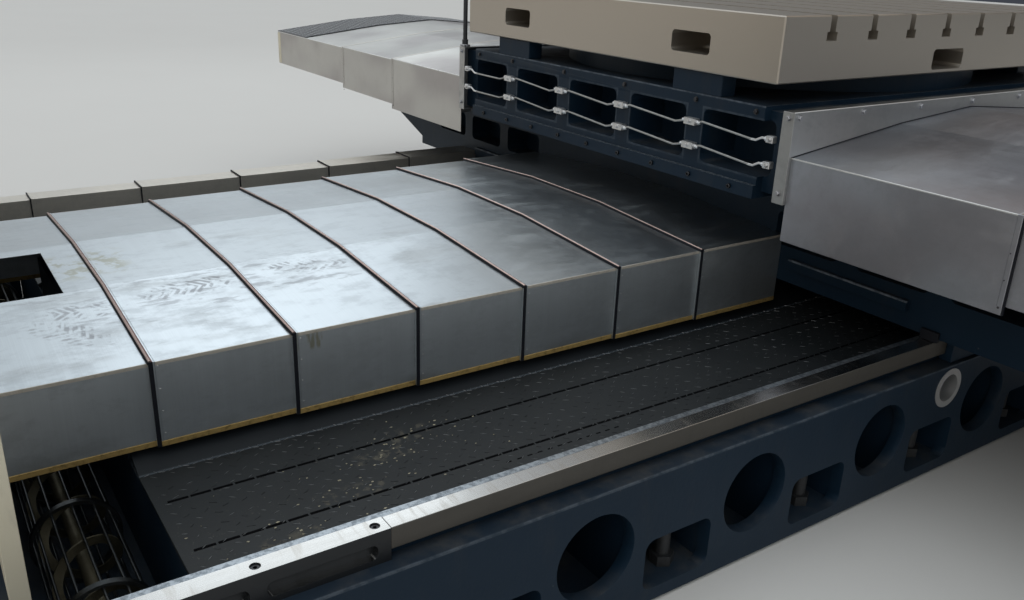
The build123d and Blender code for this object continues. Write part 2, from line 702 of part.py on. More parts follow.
def conveyor_cage():
    """Rings on the channel floor with rods inside them, and the chip screw's end bearing."""
    y = CONVEYOR_Y
    spacing = 2 * CAGE_HALF_LENGTH / (CAGE_RINGS - 1)
    pieces = []
    for i in range(CAGE_RINGS):
        middle = -CAGE_HALF_LENGTH + i * spacing
        ring_x = (middle - CAGE_RING, middle + CAGE_RING)
        ring = rod_x(CAGE_RADIUS, y, CONVEYOR_Z, ring_x)
        ring -= rod_x(CAGE_RADIUS - CAGE_RING, y, CONVEYOR_Z, (ring_x[0] - 1, ring_x[1] + 1))
        foot_z = (CHANNEL_FLOOR_Z, CONVEYOR_Z - CAGE_RADIUS + 3)
        pieces.append(ring + block(ring_x, (y - CAGE_FOOT, y + CAGE_FOOT), foot_z))
    radius = CAGE_RADIUS - CAGE_RING - CAGE_ROD_RADIUS - SLIDE_GAP
    for i in range(CAGE_RODS):
        share = i / (CAGE_RODS - 1)
        angle = math.radians(CAGE_ROD_ARC[0] + share * (CAGE_ROD_ARC[1] - CAGE_ROD_ARC[0]))
        rod_place = (y + radius * math.cos(angle), CONVEYOR_Z + radius * math.sin(angle))
        pieces.append(rod_x(CAGE_ROD_RADIUS, *rod_place, (-CAGE_HALF_LENGTH, CAGE_HALF_LENGTH)))
    plate_x = (CAGE_HALF_LENGTH + CAGE_RING, CAGE_HALF_LENGTH + 2 * CAGE_RING)
    plate_z = (CHANNEL_FLOOR_Z, CONVEYOR_Z + CAGE_RADIUS)
    plate = block(plate_x, (y - CAGE_FOOT, y + CAGE_FOOT), plate_z)
    plate += rod_x(2 * COIL_SHAFT, y, CONVEYOR_Z, plate_x)
    hole_x = (plate_x[0] - 1, plate_x[1] + 1)
    pieces.append(plate - rod_x(COIL_SHAFT + SLIDE_GAP, y, CONVEYOR_Z, hole_x))
    return pieces


def conveyor_coil():
    """Ribbon wound round a plain shaft, held to it by spokes."""
    y = CONVEYOR_Y
    length = 2 * (CAGE_HALF_LENGTH - 60)
    turns = Helix(pitch=COIL_PITCH, height=length, radius=COIL_RADIUS - COIL_WIDTH / 2)
    start = Plane(origin=turns @ 0, x_dir=(1, 0, 0), z_dir=turns % 0)
    ribbon = sweep(start * Rectangle(COIL_WIDTH, COIL_THICKNESS), path=turns, is_frenet=True)
    coil = Pos(-length / 2, y, CONVEYOR_Z) * Rot(0, 90, 0) * ribbon
    shaft_x = (-CAGE_HALF_LENGTH - CAGE_RING - SHAFT_ENGAGE, CAGE_HALF_LENGTH + 2 * CAGE_RING)
    coil += rod_x(COIL_SHAFT, y, CONVEYOR_Z, shaft_x)
    for i in range(int(length // COIL_PITCH) + 1):
        x = -length / 2 + i * COIL_PITCH
        low = CONVEYOR_Z - COIL_RADIUS + COIL_WIDTH / 2
        coil += rod_z(COIL_THICKNESS, x, y, (low, CONVEYOR_Z))
    return coil


def conveyor_motor():
    """Geared motor on the far end of the chip screw."""
    y = CONVEYOR_Y
    start = -CAGE_HALF_LENGTH - CAGE_RING
    end = start - GEARBOX_LENGTH
    gearbox = window_x(y, CONVEYOR_Z, 2 * CAGE_RADIUS, 2 * CAGE_RADIUS, (end, start), GEARBOX_CORNER)
    gearbox += rod_x(CONVEYOR_MOTOR_RADIUS, y, CONVEYOR_Z, (end - MOTOR_LENGTH, end))
    foot_half = CAGE_RADIUS - GEARBOX_FOOT_INSET
    foot_y = (y - foot_half, y + foot_half)
    gearbox += block((end + 10, -BED_HALF_WIDTH - 2), foot_y, (0, CONVEYOR_Z))
    return gearbox - rod_x(COIL_SHAFT + SLIDE_GAP, y, CONVEYOR_Z, (start - SHAFT_ENGAGE - 2, start + 1))


def guard_wings():
    """Folded sheet walls beside the long cover, on the column side of the chip channel."""
    near, far = GUARD_X
    front, back = GUARD_Y[1], GUARD_Y[0]
    path = [(near, back), (near, front), (far, front), (far, back), (far - GUARD_RETURN, back)]
    outline = path + offset_path(path, -GUARD_SHEET)[::-1]
    face = Plane.XY.offset(GUARD_Z[0]) * make_face(Polyline(*outline, close=True))
    wing = extrude(face, GUARD_Z[1] - GUARD_Z[0])
    foot_z = (DECK_Z, GUARD_Z[0] + 6)
    wing += block((near, far), (back, front), foot_z)
    return [wing, flip_x(wing)]


def saddle_outline():
    """Half of the saddle's cross-section, on the +X side."""
    pad = SADDLE_BOTTOM_Z - WAY_TOP_Z - SLIDE_GAP
    inner = (INNER_WAY_X - INNER_WAY_WIDTH / 2, INNER_WAY_X + INNER_WAY_WIDTH / 2)
    inner_pad = INNER_WAY_Z + SLIDE_GAP
    body = BED_BODY_HALF + 25
    end = X_COVER_END - COVER_SHEET
    return [
        (0, SADDLE_CENTRE_Z),
        (inner[0], SADDLE_CENTRE_Z),
        (inner[0], inner_pad),
        (inner[1], inner_pad),
        (inner[1], SADDLE_CENTRE_Z),
        (body, SADDLE_CENTRE_Z),
        (body + 40, SADDLE_BOTTOM_Z),
        (WAY_INNER_X, SADDLE_BOTTOM_Z),
        (WAY_INNER_X, SADDLE_BOTTOM_Z - pad),
        (WAY_OUTER_X, SADDLE_BOTTOM_Z - pad),
        (WAY_OUTER_X, SADDLE_BOTTOM_Z),
        (SADDLE_HALF, SADDLE_BOTTOM_Z),
        (SADDLE_TAPER_END, BEAM_BOTTOM_Z),
        (end, BEAM_BOTTOM_Z),
        (end, SADDLE_TOP_Z),
        (0, SADDLE_TOP_Z),
    ]


def saddle():
    half = prism_y(saddle_outline(), (SADDLE_FRONT, SADDLE_REAR))
    beam_x = (SADDLE_HALF, X_COVER_END + 5)
    beam_y = (SADDLE_FRONT - 5, SADDLE_FRONT + BEAM_SETBACK)
    setback = block(beam_x, beam_y, (SADDLE_BOTTOM_Z - 5, SADDLE_TOP_Z + 5))
    half -= setback
    half -= flip_y(setback, SADDLE_CENTRE_Y)
    ledge_z = (FACE_LEDGE_Z - 2 * FACE_LEDGE, FACE_LEDGE_Z)
    ledge = block(FACE_LEDGE_X, (SADDLE_FRONT - FACE_LEDGE, SADDLE_FRONT + 1), ledge_z)
    half += ledge + flip_y(ledge, SADDLE_CENTRE_Y)
    trench_y = (SADDLE_CENTRE_Y - X_TRENCH_HALF, SADDLE_CENTRE_Y + X_TRENCH_HALF)
    half -= block((-5, SADDLE_TAPER_END), trench_y, (X_TRENCH_Z, SADDLE_TOP_Z + 5))
    width, height = SADDLE_POCKET
    pockets = None
    for i in range(SADDLE_POCKETS):
        middle = SADDLE_POCKET_X + i * SADDLE_POCKET_PITCH
        depth = (SADDLE_FRONT - 5, SADDLE_FRONT + SADDLE_POCKET_DEPTH)
        pocket = window_y(middle, SADDLE_POCKET_Z, width, height, depth, SADDLE_POCKET_CORNER)
        pockets = pocket if pockets is None else pockets + pocket
    half -= pockets
    half -= flip_y(pockets, SADDLE_CENTRE_Y)
    return half + flip_x(half)


def keeper_plates():
    """Plates that hook under the overhang of the outer ways."""
    way_bottom = WAY_TOP_Z - WAY_DEPTH
    x = (WAY_OUTER_X - KEEPER_HOOK, WAY_OUTER_X + KEEPER_PROUD)
    y = (SADDLE_FRONT + KEEPER_INSET, SADDLE_REAR - KEEPER_INSET)
    bottom = LEDGE_Z + KEEPER_DROP
    keeper = block((WAY_OUTER_X + KEEPER_GAP, x[1]), y, (bottom, SADDLE_BOTTOM_Z))
    keeper += block(x, y, (bottom, way_bottom - KEEPER_GAP))
    return [keeper, flip_x(keeper)]


def x_ways():
    ways = []
    for side in (-1, 1):
        centre = SADDLE_CENTRE_Y + side * X_WAY_OFFSET
        y = (centre - X_WAY_WIDTH / 2, centre + X_WAY_WIDTH / 2)
        reach = X_COVER_END - 20
        ways.append(block((-reach, reach), y, (SADDLE_TOP_Z, X_WAY_Z)))
    return ways


def x_ball_screw():
    """Fixed screw in the saddle's trench, held in a bearing block at each end."""
    reach = SADDLE_TAPER_END
    length, rise = X_SCREW_BLOCK
    pieces = [rod_x(X_SCREW_RADIUS, SADDLE_CENTRE_Y, X_SCREW_Z, (-reach, reach))]
    y = (SADDLE_CENTRE_Y - X_TRENCH_HALF, SADDLE_CENTRE_Y + X_TRENCH_HALF)
    for x in ((-reach, length - reach), (reach - length, reach)):
        housing = block(x, y, (X_TRENCH_Z, X_SCREW_Z + rise))
        pieces.append(housing - rod_x(X_SCREW_RADIUS + SLIDE_GAP, SADDLE_CENTRE_Y, X_SCREW_Z, x))
    return pieces


def y_ball_screw():
    """Fixed screw in the middle of the bed, held in a block at each end."""
    y = (BED_FRONT + SCREW_END_GAP, BED_REAR - 2 * SCREW_END_GAP)
    length, rise = Y_SCREW_BLOCK
    pieces = [rod_y(Y_SCREW_RADIUS, 0, Y_SCREW_Z, y)]
    x = (-SCREW_TRENCH_HALF, SCREW_TRENCH_HALF)
    for end in ((y[0], y[0] + length), (y[1] - length, y[1])):
        housing = block(x, end, (SCREW_TRENCH_Z, Y_SCREW_Z + rise))
        pieces.append(housing - rod_y(Y_SCREW_RADIUS + SLIDE_GAP, 0, Y_SCREW_Z, end))
    return pieces


def y_nut_drive():
    """Block under the saddle with the driven nut."""
    half, half_y = Y_NUT_HALF
    y = (SADDLE_CENTRE_Y - half_y, SADDLE_CENTRE_Y + half_y)
    nut = block((-half, half), y, (SCREW_TRENCH_Z + NUT_FLOOR_GAP, SADDLE_CENTRE_Z))
    nut -= rod_y(Y_SCREW_RADIUS + NUT_CLEARANCE, 0, Y_SCREW_Z, (y[0] - 1, y[1] + 1))
    return nut


def carriage():
    half_y = X_COVER_HALF
    y = (SADDLE_CENTRE_Y - half_y, SADDLE_CENTRE_Y + half_y)
    z = (X_WAY_Z + SLIDE_GAP, CARRIAGE_TOP_Z)
    body = block((-CARRIAGE_HALF, CARRIAGE_HALF), y, z)
    flange_z = (z[0], CARRIAGE_FLANGE_Z)
    flange_y = (y[0] - CARRIAGE_FLANGE, y[1] + CARRIAGE_FLANGE)
    body += block((-CARRIAGE_HALF, CARRIAGE_HALF), flange_y, flange_z)
    neck = X_COVER_INNER - ADAPTER_SHEET
    neck_y = (y[0] + NECK_INSET, y[1] - NECK_INSET)
    body += block((-neck, neck), neck_y, (ADAPTER_BOTTOM_Z + 12, CARRIAGE_TOP_Z - 15))
    pockets = None
    for i in range(CARRIAGE_POCKETS):
        x = (i - (CARRIAGE_POCKETS - 1) / 2) * CARRIAGE_POCKET_PITCH
        height = CARRIAGE_POCKET_Z[1] - CARRIAGE_POCKET_Z[0]
        span = (y[0] - CARRIAGE_FLANGE - 5, y[0] + CARRIAGE_POCKET_DEPTH)
        middle = sum(CARRIAGE_POCKET_Z) / 2
        pocket = window_y(x, middle, CARRIAGE_POCKET, height, span, CARRIAGE_POCKET_CORNER)
        pockets = pocket if pockets is None else pockets + pocket
    body -= pockets
    body -= flip_y(pockets, SADDLE_CENTRE_Y)
    half, half_y = X_NUT_HALF
    nut_y = (SADDLE_CENTRE_Y - half_y, SADDLE_CENTRE_Y + half_y)
    nut = block((-half, half), nut_y, (X_TRENCH_Z + NUT_FLOOR_GAP, z[0] + 1))
    nut -= rod_x(X_SCREW_RADIUS + NUT_CLEARANCE, SADDLE_CENTRE_Y, X_SCREW_Z, (-half - 1, half + 1))
    return body + nut


def adapter_plates():
    """Trays between the carriage and the covers on each side, standing proud of their roof."""
    half_y = TABLE_Y / 2
    y = (SADDLE_CENTRE_Y - half_y, SADDLE_CENTRE_Y + half_y)
    x = (X_COVER_INNER - ADAPTER_DEPTH, X_COVER_INNER)
    z = (ADAPTER_BOTTOM_Z, CARRIAGE_TOP_Z)
    plate = block(x, y, z)
    inside_y = (y[0] + ADAPTER_SHEET, y[1] - ADAPTER_SHEET)
    plate -= block((x[0] - 1, x[1] - ADAPTER_SHEET), inside_y, (z[0] + ADAPTER_SHEET, z[1] - ADAPTER_SHEET))
    return [plate, flip_x(plate)]


def pipe_ribs():
    """Middles of the ribs that carry the lubrication fittings."""
    return [(i - CARRIAGE_POCKETS / 2 + 1) * CARRIAGE_POCKET_PITCH for i in range(CARRIAGE_POCKETS - 1)]


def lube_pipes():
    """Two bent pipes along the ribs, with a straight run over each rib."""
    y = SADDLE_CENTRE_Y - X_COVER_HALF - PIPE_STANDOFF
    ribs = pipe_ribs()
    half = FITTING
    pipes = []
    for z in PIPE_Z:
        points = [(-CARRIAGE_HALF + 30, z - PIPE_DIP)]
        for x in ribs:
            points += [(x - 3 * half, z - PIPE_DIP), (x - half, z)]
            points += [(x + half, z), (x + 2 * half, z + PIPE_DIP / 2)]
        points.append((CARRIAGE_HALF - 30, z - PIPE_DIP))
        line = FilletPolyline(*[(px, y, pz) for px, pz in points], radius=FITTING / 2)
        start = Plane(origin=line @ 0, z_dir=line % 0)
        pipes.append(sweep(start * Circle(PIPE_RADIUS), path=line))
    return pipes


def lube_blocks():
    """Distributor on each rib for each pipe, bored for the pipe to pass through."""
    face = SADDLE_CENTRE_Y - X_COVER_HALF
    y = face - PIPE_STANDOFF
    blocks = []
    for z in PIPE_Z:
        for x in pipe_ribs():
            block_z = (z - FITTING_HALF_HEIGHT, z + FITTING_HALF_HEIGHT)
            body = block((x - FITTING, x + FITTING), (face - 2 * PIPE_STANDOFF, face), block_z)
            body -= rod_x(PIPE_RADIUS + NUT_CLEARANCE, y, z, (x - FITTING - 1, x + FITTING + 1))
            blocks.append(body)
    return blocks


def table_bearing():
    """Housing ring of the table's bearing and worm wheel, on the carriage."""
    z = (CARRIAGE_TOP_Z, TABLE_BOTTOM_Z - SLIDE_GAP)
    ring = rod_z(BEARING_RADIUS, 0, SADDLE_CENTRE_Y, z)
    return ring - rod_z(ROTOR_RADIUS + NUT_CLEARANCE, 0, SADDLE_CENTRE_Y, (z[0] - 1, z[1] + 1))


def table_clamps():
    clamps = []
    width, depth = CLAMP_SIZE
    outer = TABLE_Y / 2 - CLAMP_INSET
    z = (CARRIAGE_TOP_Z, TABLE_BOTTOM_Z - 1.0)
    for side_x in (-1, 1):
        for side_y in (-1, 1):
            x = sorted((side_x * CLAMP_X - width / 2, side_x * CLAMP_X + width / 2))
            y = sorted((side_y * outer, side_y * (outer - depth)))
            clamps.append(block(x, (SADDLE_CENTRE_Y + y[0], SADDLE_CENTRE_Y + y[1]), z))
    return clamps


def rotary_table():
    y = (SADDLE_CENTRE_Y - TABLE_Y / 2, SADDLE_CENTRE_Y + TABLE_Y / 2)
    x = (-TABLE_X / 2, TABLE_X / 2)
    table = block(x, y, (TABLE_BOTTOM_Z, TABLE_TOP_Z))
    table = chamfer(table.edges(), TABLE_EDGE)
    for i in range(SLOT_COUNT):
        centre = SADDLE_CENTRE_Y + (i - (SLOT_COUNT - 1) / 2) * SLOT_PITCH
        neck, head = SLOT_NECK / 2, SLOT_HEAD / 2
        shelf, floor = TABLE_TOP_Z - SLOT_NECK_DEPTH, TABLE_TOP_Z - SLOT_DEPTH
        right = [(neck, TABLE_TOP_Z + 5), (neck, shelf), (head, shelf), (head, floor)]
        outline = [(centre + u, z) for u, z in right] + [(centre - u, z) for u, z in right[::-1]]
        table -= prism_x(outline, (x[0] - 1, x[1] + 1))
    pockets = None
    for side in (-1, 1):
        front = window_y(side * WINDOW_X, WINDOW_Z, WINDOW_WIDTH, WINDOW_HEIGHT,
                         (y[0] - 1, y[0] + WINDOW_DEPTH), WINDOW_CORNER)
        pockets = front if pockets is None else pockets + front
    end_y = SADDLE_CENTRE_Y + END_WINDOW_Y
    pockets += flip_y(pockets, SADDLE_CENTRE_Y)
    depth = (x[1] - WINDOW_DEPTH, x[1] + 1)
    end = window_x(end_y, END_WINDOW_Z, WINDOW_WIDTH, WINDOW_HEIGHT, depth, WINDOW_CORNER)
    table -= pockets
    table -= end
    table -= flip_x(end)
    table += rod_z(ROTOR_RADIUS, 0, SADDLE_CENTRE_Y, (CARRIAGE_TOP_Z + 5, TABLE_BOTTOM_Z + 1))
    bore_z = (TABLE_TOP_Z - TABLE_BORE_DEPTH, TABLE_TOP_Z + 1)
    return table - rod_z(TABLE_BORE_RADIUS, 0, SADDLE_CENTRE_Y, bore_z)


def column_base():
    """Bed section under the column, with cored windows in its sides."""
    x = (-COLUMN_BASE_HALF, COLUMN_BASE_HALF)
    base = block(x, (COLUMN_BASE_FRONT, BED_FRONT), (BED_CLEAR, BED_BODY_Z))
    width, height = BASE_WINDOW
    bay = (BED_FRONT - COLUMN_BASE_FRONT) / BASE_WINDOWS
    for i in range(BASE_WINDOWS):
        y = COLUMN_BASE_FRONT + (i + 0.5) * bay
        for side in (-1, 1):
            reach = sorted((side * (COLUMN_BASE_HALF - BASE_WINDOW_DEPTH), side * (COLUMN_BASE_HALF + 5)))
            base -= window_x(y, (BED_BODY_Z + BED_CLEAR) / 2, width, height, reach, BASE_WINDOW_CORNER)
    return base


def column():
    """Tapered box column with a recessed front between the ways and cored sides."""
    z = (BED_BODY_Z, COLUMN_TOP_Z)
    side = [(COLUMN_BACK, z[0]), (COLUMN_FACE, z[0]), (COLUMN_FACE, z[1]), (COLUMN_TOP_BACK, z[1])]
    body = prism_x(side, (-COLUMN_HALF, COLUMN_HALF))
    recess = 2 * COLUMN_WAY_X - COLUMN_WAY_WIDTH - 3 * COLUMN_RECESS_CORNER
    height = COLUMN_WAY_Z[1] - COLUMN_WAY_Z[0]
    depth = (COLUMN_FACE - COLUMN_RECESS_DEPTH, COLUMN_FACE + 5)
    body -= window_y(0, sum(COLUMN_WAY_Z) / 2, recess, height, depth, COLUMN_RECESS_CORNER)
    width, height = COLUMN_WINDOW
    for middle in COLUMN_WINDOW_Z:
        for way in (-1, 1):
            reach = sorted((way * (COLUMN_HALF - COLUMN_WINDOW_DEPTH), way * (COLUMN_HALF + 5)))
            y = COLUMN_FACE - COLUMN_WINDOW_SETBACK
            body -= window_x(y, middle, width, height, reach, COLUMN_WINDOW_CORNER)
    return body


def column_ways():
    x = (COLUMN_WAY_X - COLUMN_WAY_WIDTH / 2, COLUMN_WAY_X + COLUMN_WAY_WIDTH / 2)
    way = block(x, (COLUMN_FACE, HEAD_BACK), COLUMN_WAY_Z)
    return [way, flip_x(way)]


def head_outline():
    """Headstock seen from the front, with its corners cut off."""
    low, high = HEAD_Z
    right = [(HEAD_HALF - HEAD_CORNER, high), (HEAD_HALF, high - HEAD_CORNER)]
    right += [(HEAD_HALF, low + HEAD_CORNER), (HEAD_HALF - HEAD_CORNER, low)]
    return right + [(-x, z) for x, z in right[::-1]]


def headstock():
    """Housing, foot plate that runs on the column ways, and nut for the lifting screw."""
    front = HEAD_FRONT
    body = prism_y(head_outline(), (HEAD_BACK + HEAD_FOOT - 10, front))
    foot_half = COLUMN_WAY_X + COLUMN_WAY_WIDTH / 2
    body += block((-foot_half, foot_half), (HEAD_BACK + SLIDE_GAP, HEAD_BACK + HEAD_FOOT), HEAD_Z)
    body += rod_y(HEAD_NOSE_RADIUS, 0, SPINDLE_Z, (front - 5, front + HEAD_NOSE_LENGTH))
    nut_z = (SPINDLE_Z + HEAD_NUT_Z[0], SPINDLE_Z + HEAD_NUT_Z[1])
    y = COLUMN_FACE - Z_SCREW_SETBACK
    body += block((-HEAD_NUT_HALF, HEAD_NUT_HALF), (y - HEAD_NUT_BACK, HEAD_BACK + 10), nut_z)
    body -= rod_z(Z_SCREW_RADIUS + NUT_CLEARANCE, 0, y, (nut_z[0] - 1, nut_z[1] + 1))
    bore = SLEEVE_RADIUS + NUT_CLEARANCE
    body -= rod_y(bore, 0, SPINDLE_Z, (HEAD_BACK + HEAD_FOOT + 5, front + HEAD_NOSE_LENGTH + 5))
    return body - rod_y(SPINDLE_RADIUS + 6, 0, SPINDLE_Z, (COLUMN_BACK, HEAD_BACK + HEAD_FOOT + 10))


def z_ball_screw():
    """Lifting screw in the column's recess, in a block at each end."""
    y = COLUMN_FACE - Z_SCREW_SETBACK
    z = (COLUMN_WAY_Z[0] + SCREW_END_GAP, COLUMN_WAY_Z[1] - SCREW_END_GAP)
    length, half = Z_SCREW_BLOCK
    pieces = [rod_z(Z_SCREW_RADIUS, 0, y, z)]
    block_y = (COLUMN_FACE - COLUMN_RECESS_DEPTH, COLUMN_FACE - 20)
    for end in ((z[0], z[0] + length), (z[1] - length, z[1])):
        housing = block((-half, half), block_y, end)
        pieces.append(housing - rod_z(Z_SCREW_RADIUS + SLIDE_GAP, 0, y, end))
    return pieces


def z_motor():
    """Motor on top of the column, over the lifting screw."""
    y = COLUMN_FACE - Z_MOTOR_SETBACK
    half_x, half_y = Z_GEARBOX_HALF
    top = COLUMN_TOP_Z + Z_GEARBOX_HEIGHT
    motor = block((-half_x, half_x), (y - half_y, y + half_y), (COLUMN_TOP_Z, top))
    return motor + rod_z(MOTOR_RADIUS, 0, y, (top, top + MOTOR_LENGTH))


def spindle_motor():
    """Main motor on top of the headstock."""
    y = (HEAD_BACK + HEAD_FRONT) / 2 + MAIN_MOTOR_FORWARD
    half_x, half_y, height = MAIN_MOTOR_BASE
    top = HEAD_Z[1] + height
    motor = block((-half_x, half_x), (y - half_y, y + half_y), (HEAD_Z[1], top))
    return motor + rod_z(MAIN_MOTOR_RADIUS, 0, y, (top, top + MOTOR_LENGTH))


def spindle_sleeve():
    """Milling sleeve that turns in the headstock, bored for the boring spindle."""
    y = (HEAD_BACK + HEAD_FOOT + 10, HEAD_FRONT + HEAD_NOSE_LENGTH + SLEEVE_NOSE)
    sleeve = rod_y(SLEEVE_RADIUS, 0, SPINDLE_Z, y)
    return sleeve - rod_y(SPINDLE_RADIUS + 0.05, 0, SPINDLE_Z, (y[0] - 1, y[1] + 1))


def boring_spindle():
    """Boring spindle with a steep taper, two drive keys' slots and tapped holes in its face."""
    face = HEAD_FRONT + HEAD_NOSE_LENGTH + SLEEVE_NOSE + SPINDLE_NOSE
    length = SPINDLE_TRAVEL + SPINDLE_HOLD
    spindle = rod_y(SPINDLE_RADIUS, 0, SPINDLE_Z, (face - length, face))
    small = TAPER_MOUTH_RADIUS - TAPER_DEPTH * 7 / 48
    profile = [(0, 1), (TAPER_MOUTH_RADIUS + 7 / 48, 1), (small, -TAPER_DEPTH), (0, -TAPER_DEPTH)]
    taper = revolve(Plane.XY * make_face(Polyline(*profile, close=True)), Axis.Y)
    spindle -= Pos(0, face, SPINDLE_Z) * taper
    for i in range(4):
        angle = math.radians(45 + 90 * i)
        x, z = NOSE_BOLT_CIRCLE / 2 * math.cos(angle), NOSE_BOLT_CIRCLE / 2 * math.sin(angle)
        spindle -= rod_y(NOSE_BOLT_RADIUS, x, SPINDLE_Z + z, (face - NOSE_BOLT_DEPTH, face + 1))
    key_z = (SPINDLE_Z - KEY_WIDTH / 2, SPINDLE_Z + KEY_WIDTH / 2)
    return spindle - block((-SPINDLE_RADIUS - 1, SPINDLE_RADIUS + 1), (face - KEY_DEPTH, face + 1), key_z)


def save(name, shape):
    """Write one node, with the origin moved to the middle of the footprint."""
    solids = shape if isinstance(shape, list) else [shape]
    moved = [Pos(0, -ORIGIN_Y, 0) * solid for solid in solids]
    export_step(moved[0] if len(moved) == 1 else Compound(moved), f"parts/{name}.step")


def main():
    os.makedirs("parts", exist_ok=True)
    save("table_bed", table_bed())
    save("outer_ways", outer_ways())
    save("way_end_block", way_end_block())
    save("way_screws", way_screws())
    save("inner_ways", inner_ways())
    save("trough_plates", trough_plates())
    save("levelling_jacks", levelling_jacks())
    save("lifting_bushes", lifting_bushes())
    save("conveyor_cage", conveyor_cage())
    save("conveyor_coil", conveyor_coil())
    save("conveyor_motor", conveyor_motor())
    save("guard_wings", guard_wings())
    save("y_ball_screw", y_ball_screw())
    for number in range(COVER_MOVING + 2):
        save(f"front_cover_{number}", front_cover(number))
    for number in range(REAR_MOVING + 2):
        save(f"rear_cover_{number}", rear_cover(number))
    for number in range(SIDE_MOVING + 2):
        save(f"side_cover_{number}", side_cover(number))
    save("saddle", saddle())
    save("keeper_plates", keeper_plates())
    save("x_ways", x_ways())
    save("x_ball_screw", x_ball_screw())
    save("y_nut_drive", y_nut_drive())
    for name, build in (("inner", x_cover_inner), ("middle", x_cover_middle), ("end", x_cover_end)):
        near = build()
        save(f"x_cover_{name}_near", near)
        save(f"x_cover_{name}_far", flip_x(near))
    near = tread_plate()
    save("tread_plates", [near, flip_x(near)])
    save("carriage", carriage())
    save("adapter_plates", adapter_plates())
    save("lube_pipes", lube_pipes())
    save("lube_blocks", lube_blocks())
    save("table_bearing", table_bearing())
    save("table_clamps", table_clamps())
    save("rotary_table", rotary_table())
    save("column_base", column_base())
    save("column", column())
    save("column_ways", column_ways())
    save("z_ball_screw", z_ball_screw())
    save("z_motor", z_motor())
    save("headstock", headstock())
    save("spindle_motor", spindle_motor())
    save("spindle_sleeve", spindle_sleeve())
    save("boring_spindle", boring_spindle())


if __name__ == "__main__":
    main()
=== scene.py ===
import json
import math
import random

import bmesh
import bpy
from bpy.props import FloatProperty, FloatVectorProperty, IntProperty, PointerProperty
from mathutils import Matrix, Vector


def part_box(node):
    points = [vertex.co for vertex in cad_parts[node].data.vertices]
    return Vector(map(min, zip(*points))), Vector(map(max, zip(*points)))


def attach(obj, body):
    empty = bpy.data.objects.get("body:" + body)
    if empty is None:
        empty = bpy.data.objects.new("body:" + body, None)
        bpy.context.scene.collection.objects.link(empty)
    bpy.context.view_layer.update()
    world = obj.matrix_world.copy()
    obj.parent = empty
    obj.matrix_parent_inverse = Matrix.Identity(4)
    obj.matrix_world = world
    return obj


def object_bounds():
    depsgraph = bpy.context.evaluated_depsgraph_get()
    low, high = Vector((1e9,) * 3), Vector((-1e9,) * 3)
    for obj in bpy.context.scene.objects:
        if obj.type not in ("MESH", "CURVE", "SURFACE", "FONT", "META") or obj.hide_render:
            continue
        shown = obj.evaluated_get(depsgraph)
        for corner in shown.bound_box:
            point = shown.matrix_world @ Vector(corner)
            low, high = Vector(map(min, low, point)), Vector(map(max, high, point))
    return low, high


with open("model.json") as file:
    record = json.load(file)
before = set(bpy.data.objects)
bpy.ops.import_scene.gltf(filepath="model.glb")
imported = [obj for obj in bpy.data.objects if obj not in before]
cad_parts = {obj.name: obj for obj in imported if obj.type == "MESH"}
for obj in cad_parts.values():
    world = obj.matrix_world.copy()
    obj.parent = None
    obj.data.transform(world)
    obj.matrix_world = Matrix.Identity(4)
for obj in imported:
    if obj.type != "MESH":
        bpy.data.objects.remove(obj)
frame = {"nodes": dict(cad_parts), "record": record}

bl_info = {
    "name": "Boring and Machining Center Finish",
    "version": (1, 0, 0),
    "blender": (4, 5, 0),
    "location": "View3D > Sidebar > Machine",
    "description": "Finishes a table-type machining center: sheet covers, castings, ways, chip plates and fittings",
    "category": "Object",
}

CAD_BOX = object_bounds()
BODY_OF_NODE = {
    node: body
    for body, nodes in frame["record"]["behaviour"]["bodies"].items()
    for node in nodes
}
FRONT_COVERS = sorted(n for n in frame["nodes"] if n.startswith("front_cover_"))
REAR_COVERS = sorted(n for n in frame["nodes"] if n.startswith("rear_cover_"))
SIDE_COVERS = sorted(n for n in frame["nodes"] if n.startswith("side_cover_"))
SIDES = (-1, 1)

# Folds and places, in metres, as in the source of the part
LONG_FLAT_HALF = 0.223
LONG_ROOF_DROP = 0.0334
LIP_LENGTH = 0.014
LIP_PROUD = 0.0016
SIDE_CENTRE = -1.380
CROSS_CENTRE = 1.453
CROSS_HALF = 0.936
CROSS_EDGE = 0.987
CROSS_KNEE = 0.400
CROSS_KNEE_TOP = 1.055
CROSS_RIDGE = 1.086
CROSS_STEP_SIDE = 0.009
CROSS_STEP_DOWN = 0.005
TREAD_WIDTH = 0.490
TREAD_THICK = 0.004
CARRIAGE_FACE = 0.517
ADAPTER_FACE = 0.505
ADAPTER_X = (0.941, 0.986)
RIBS = (-0.558, -0.186, 0.186, 0.558)
PIPES = (1.031, 0.950)
SPINDLE_HEIGHT = 2.150
NOSE_FACE = -1.5055
NOSE_CIRCLE = 0.155


def both_ways(operation):
    """Methods for an operator with the wire before it and with the wire after it."""

    def ahead(self, other):
        return self.maths(operation, self, other)

    def behind(self, other):
        return self.maths(operation, other, self)

    return ahead, behind


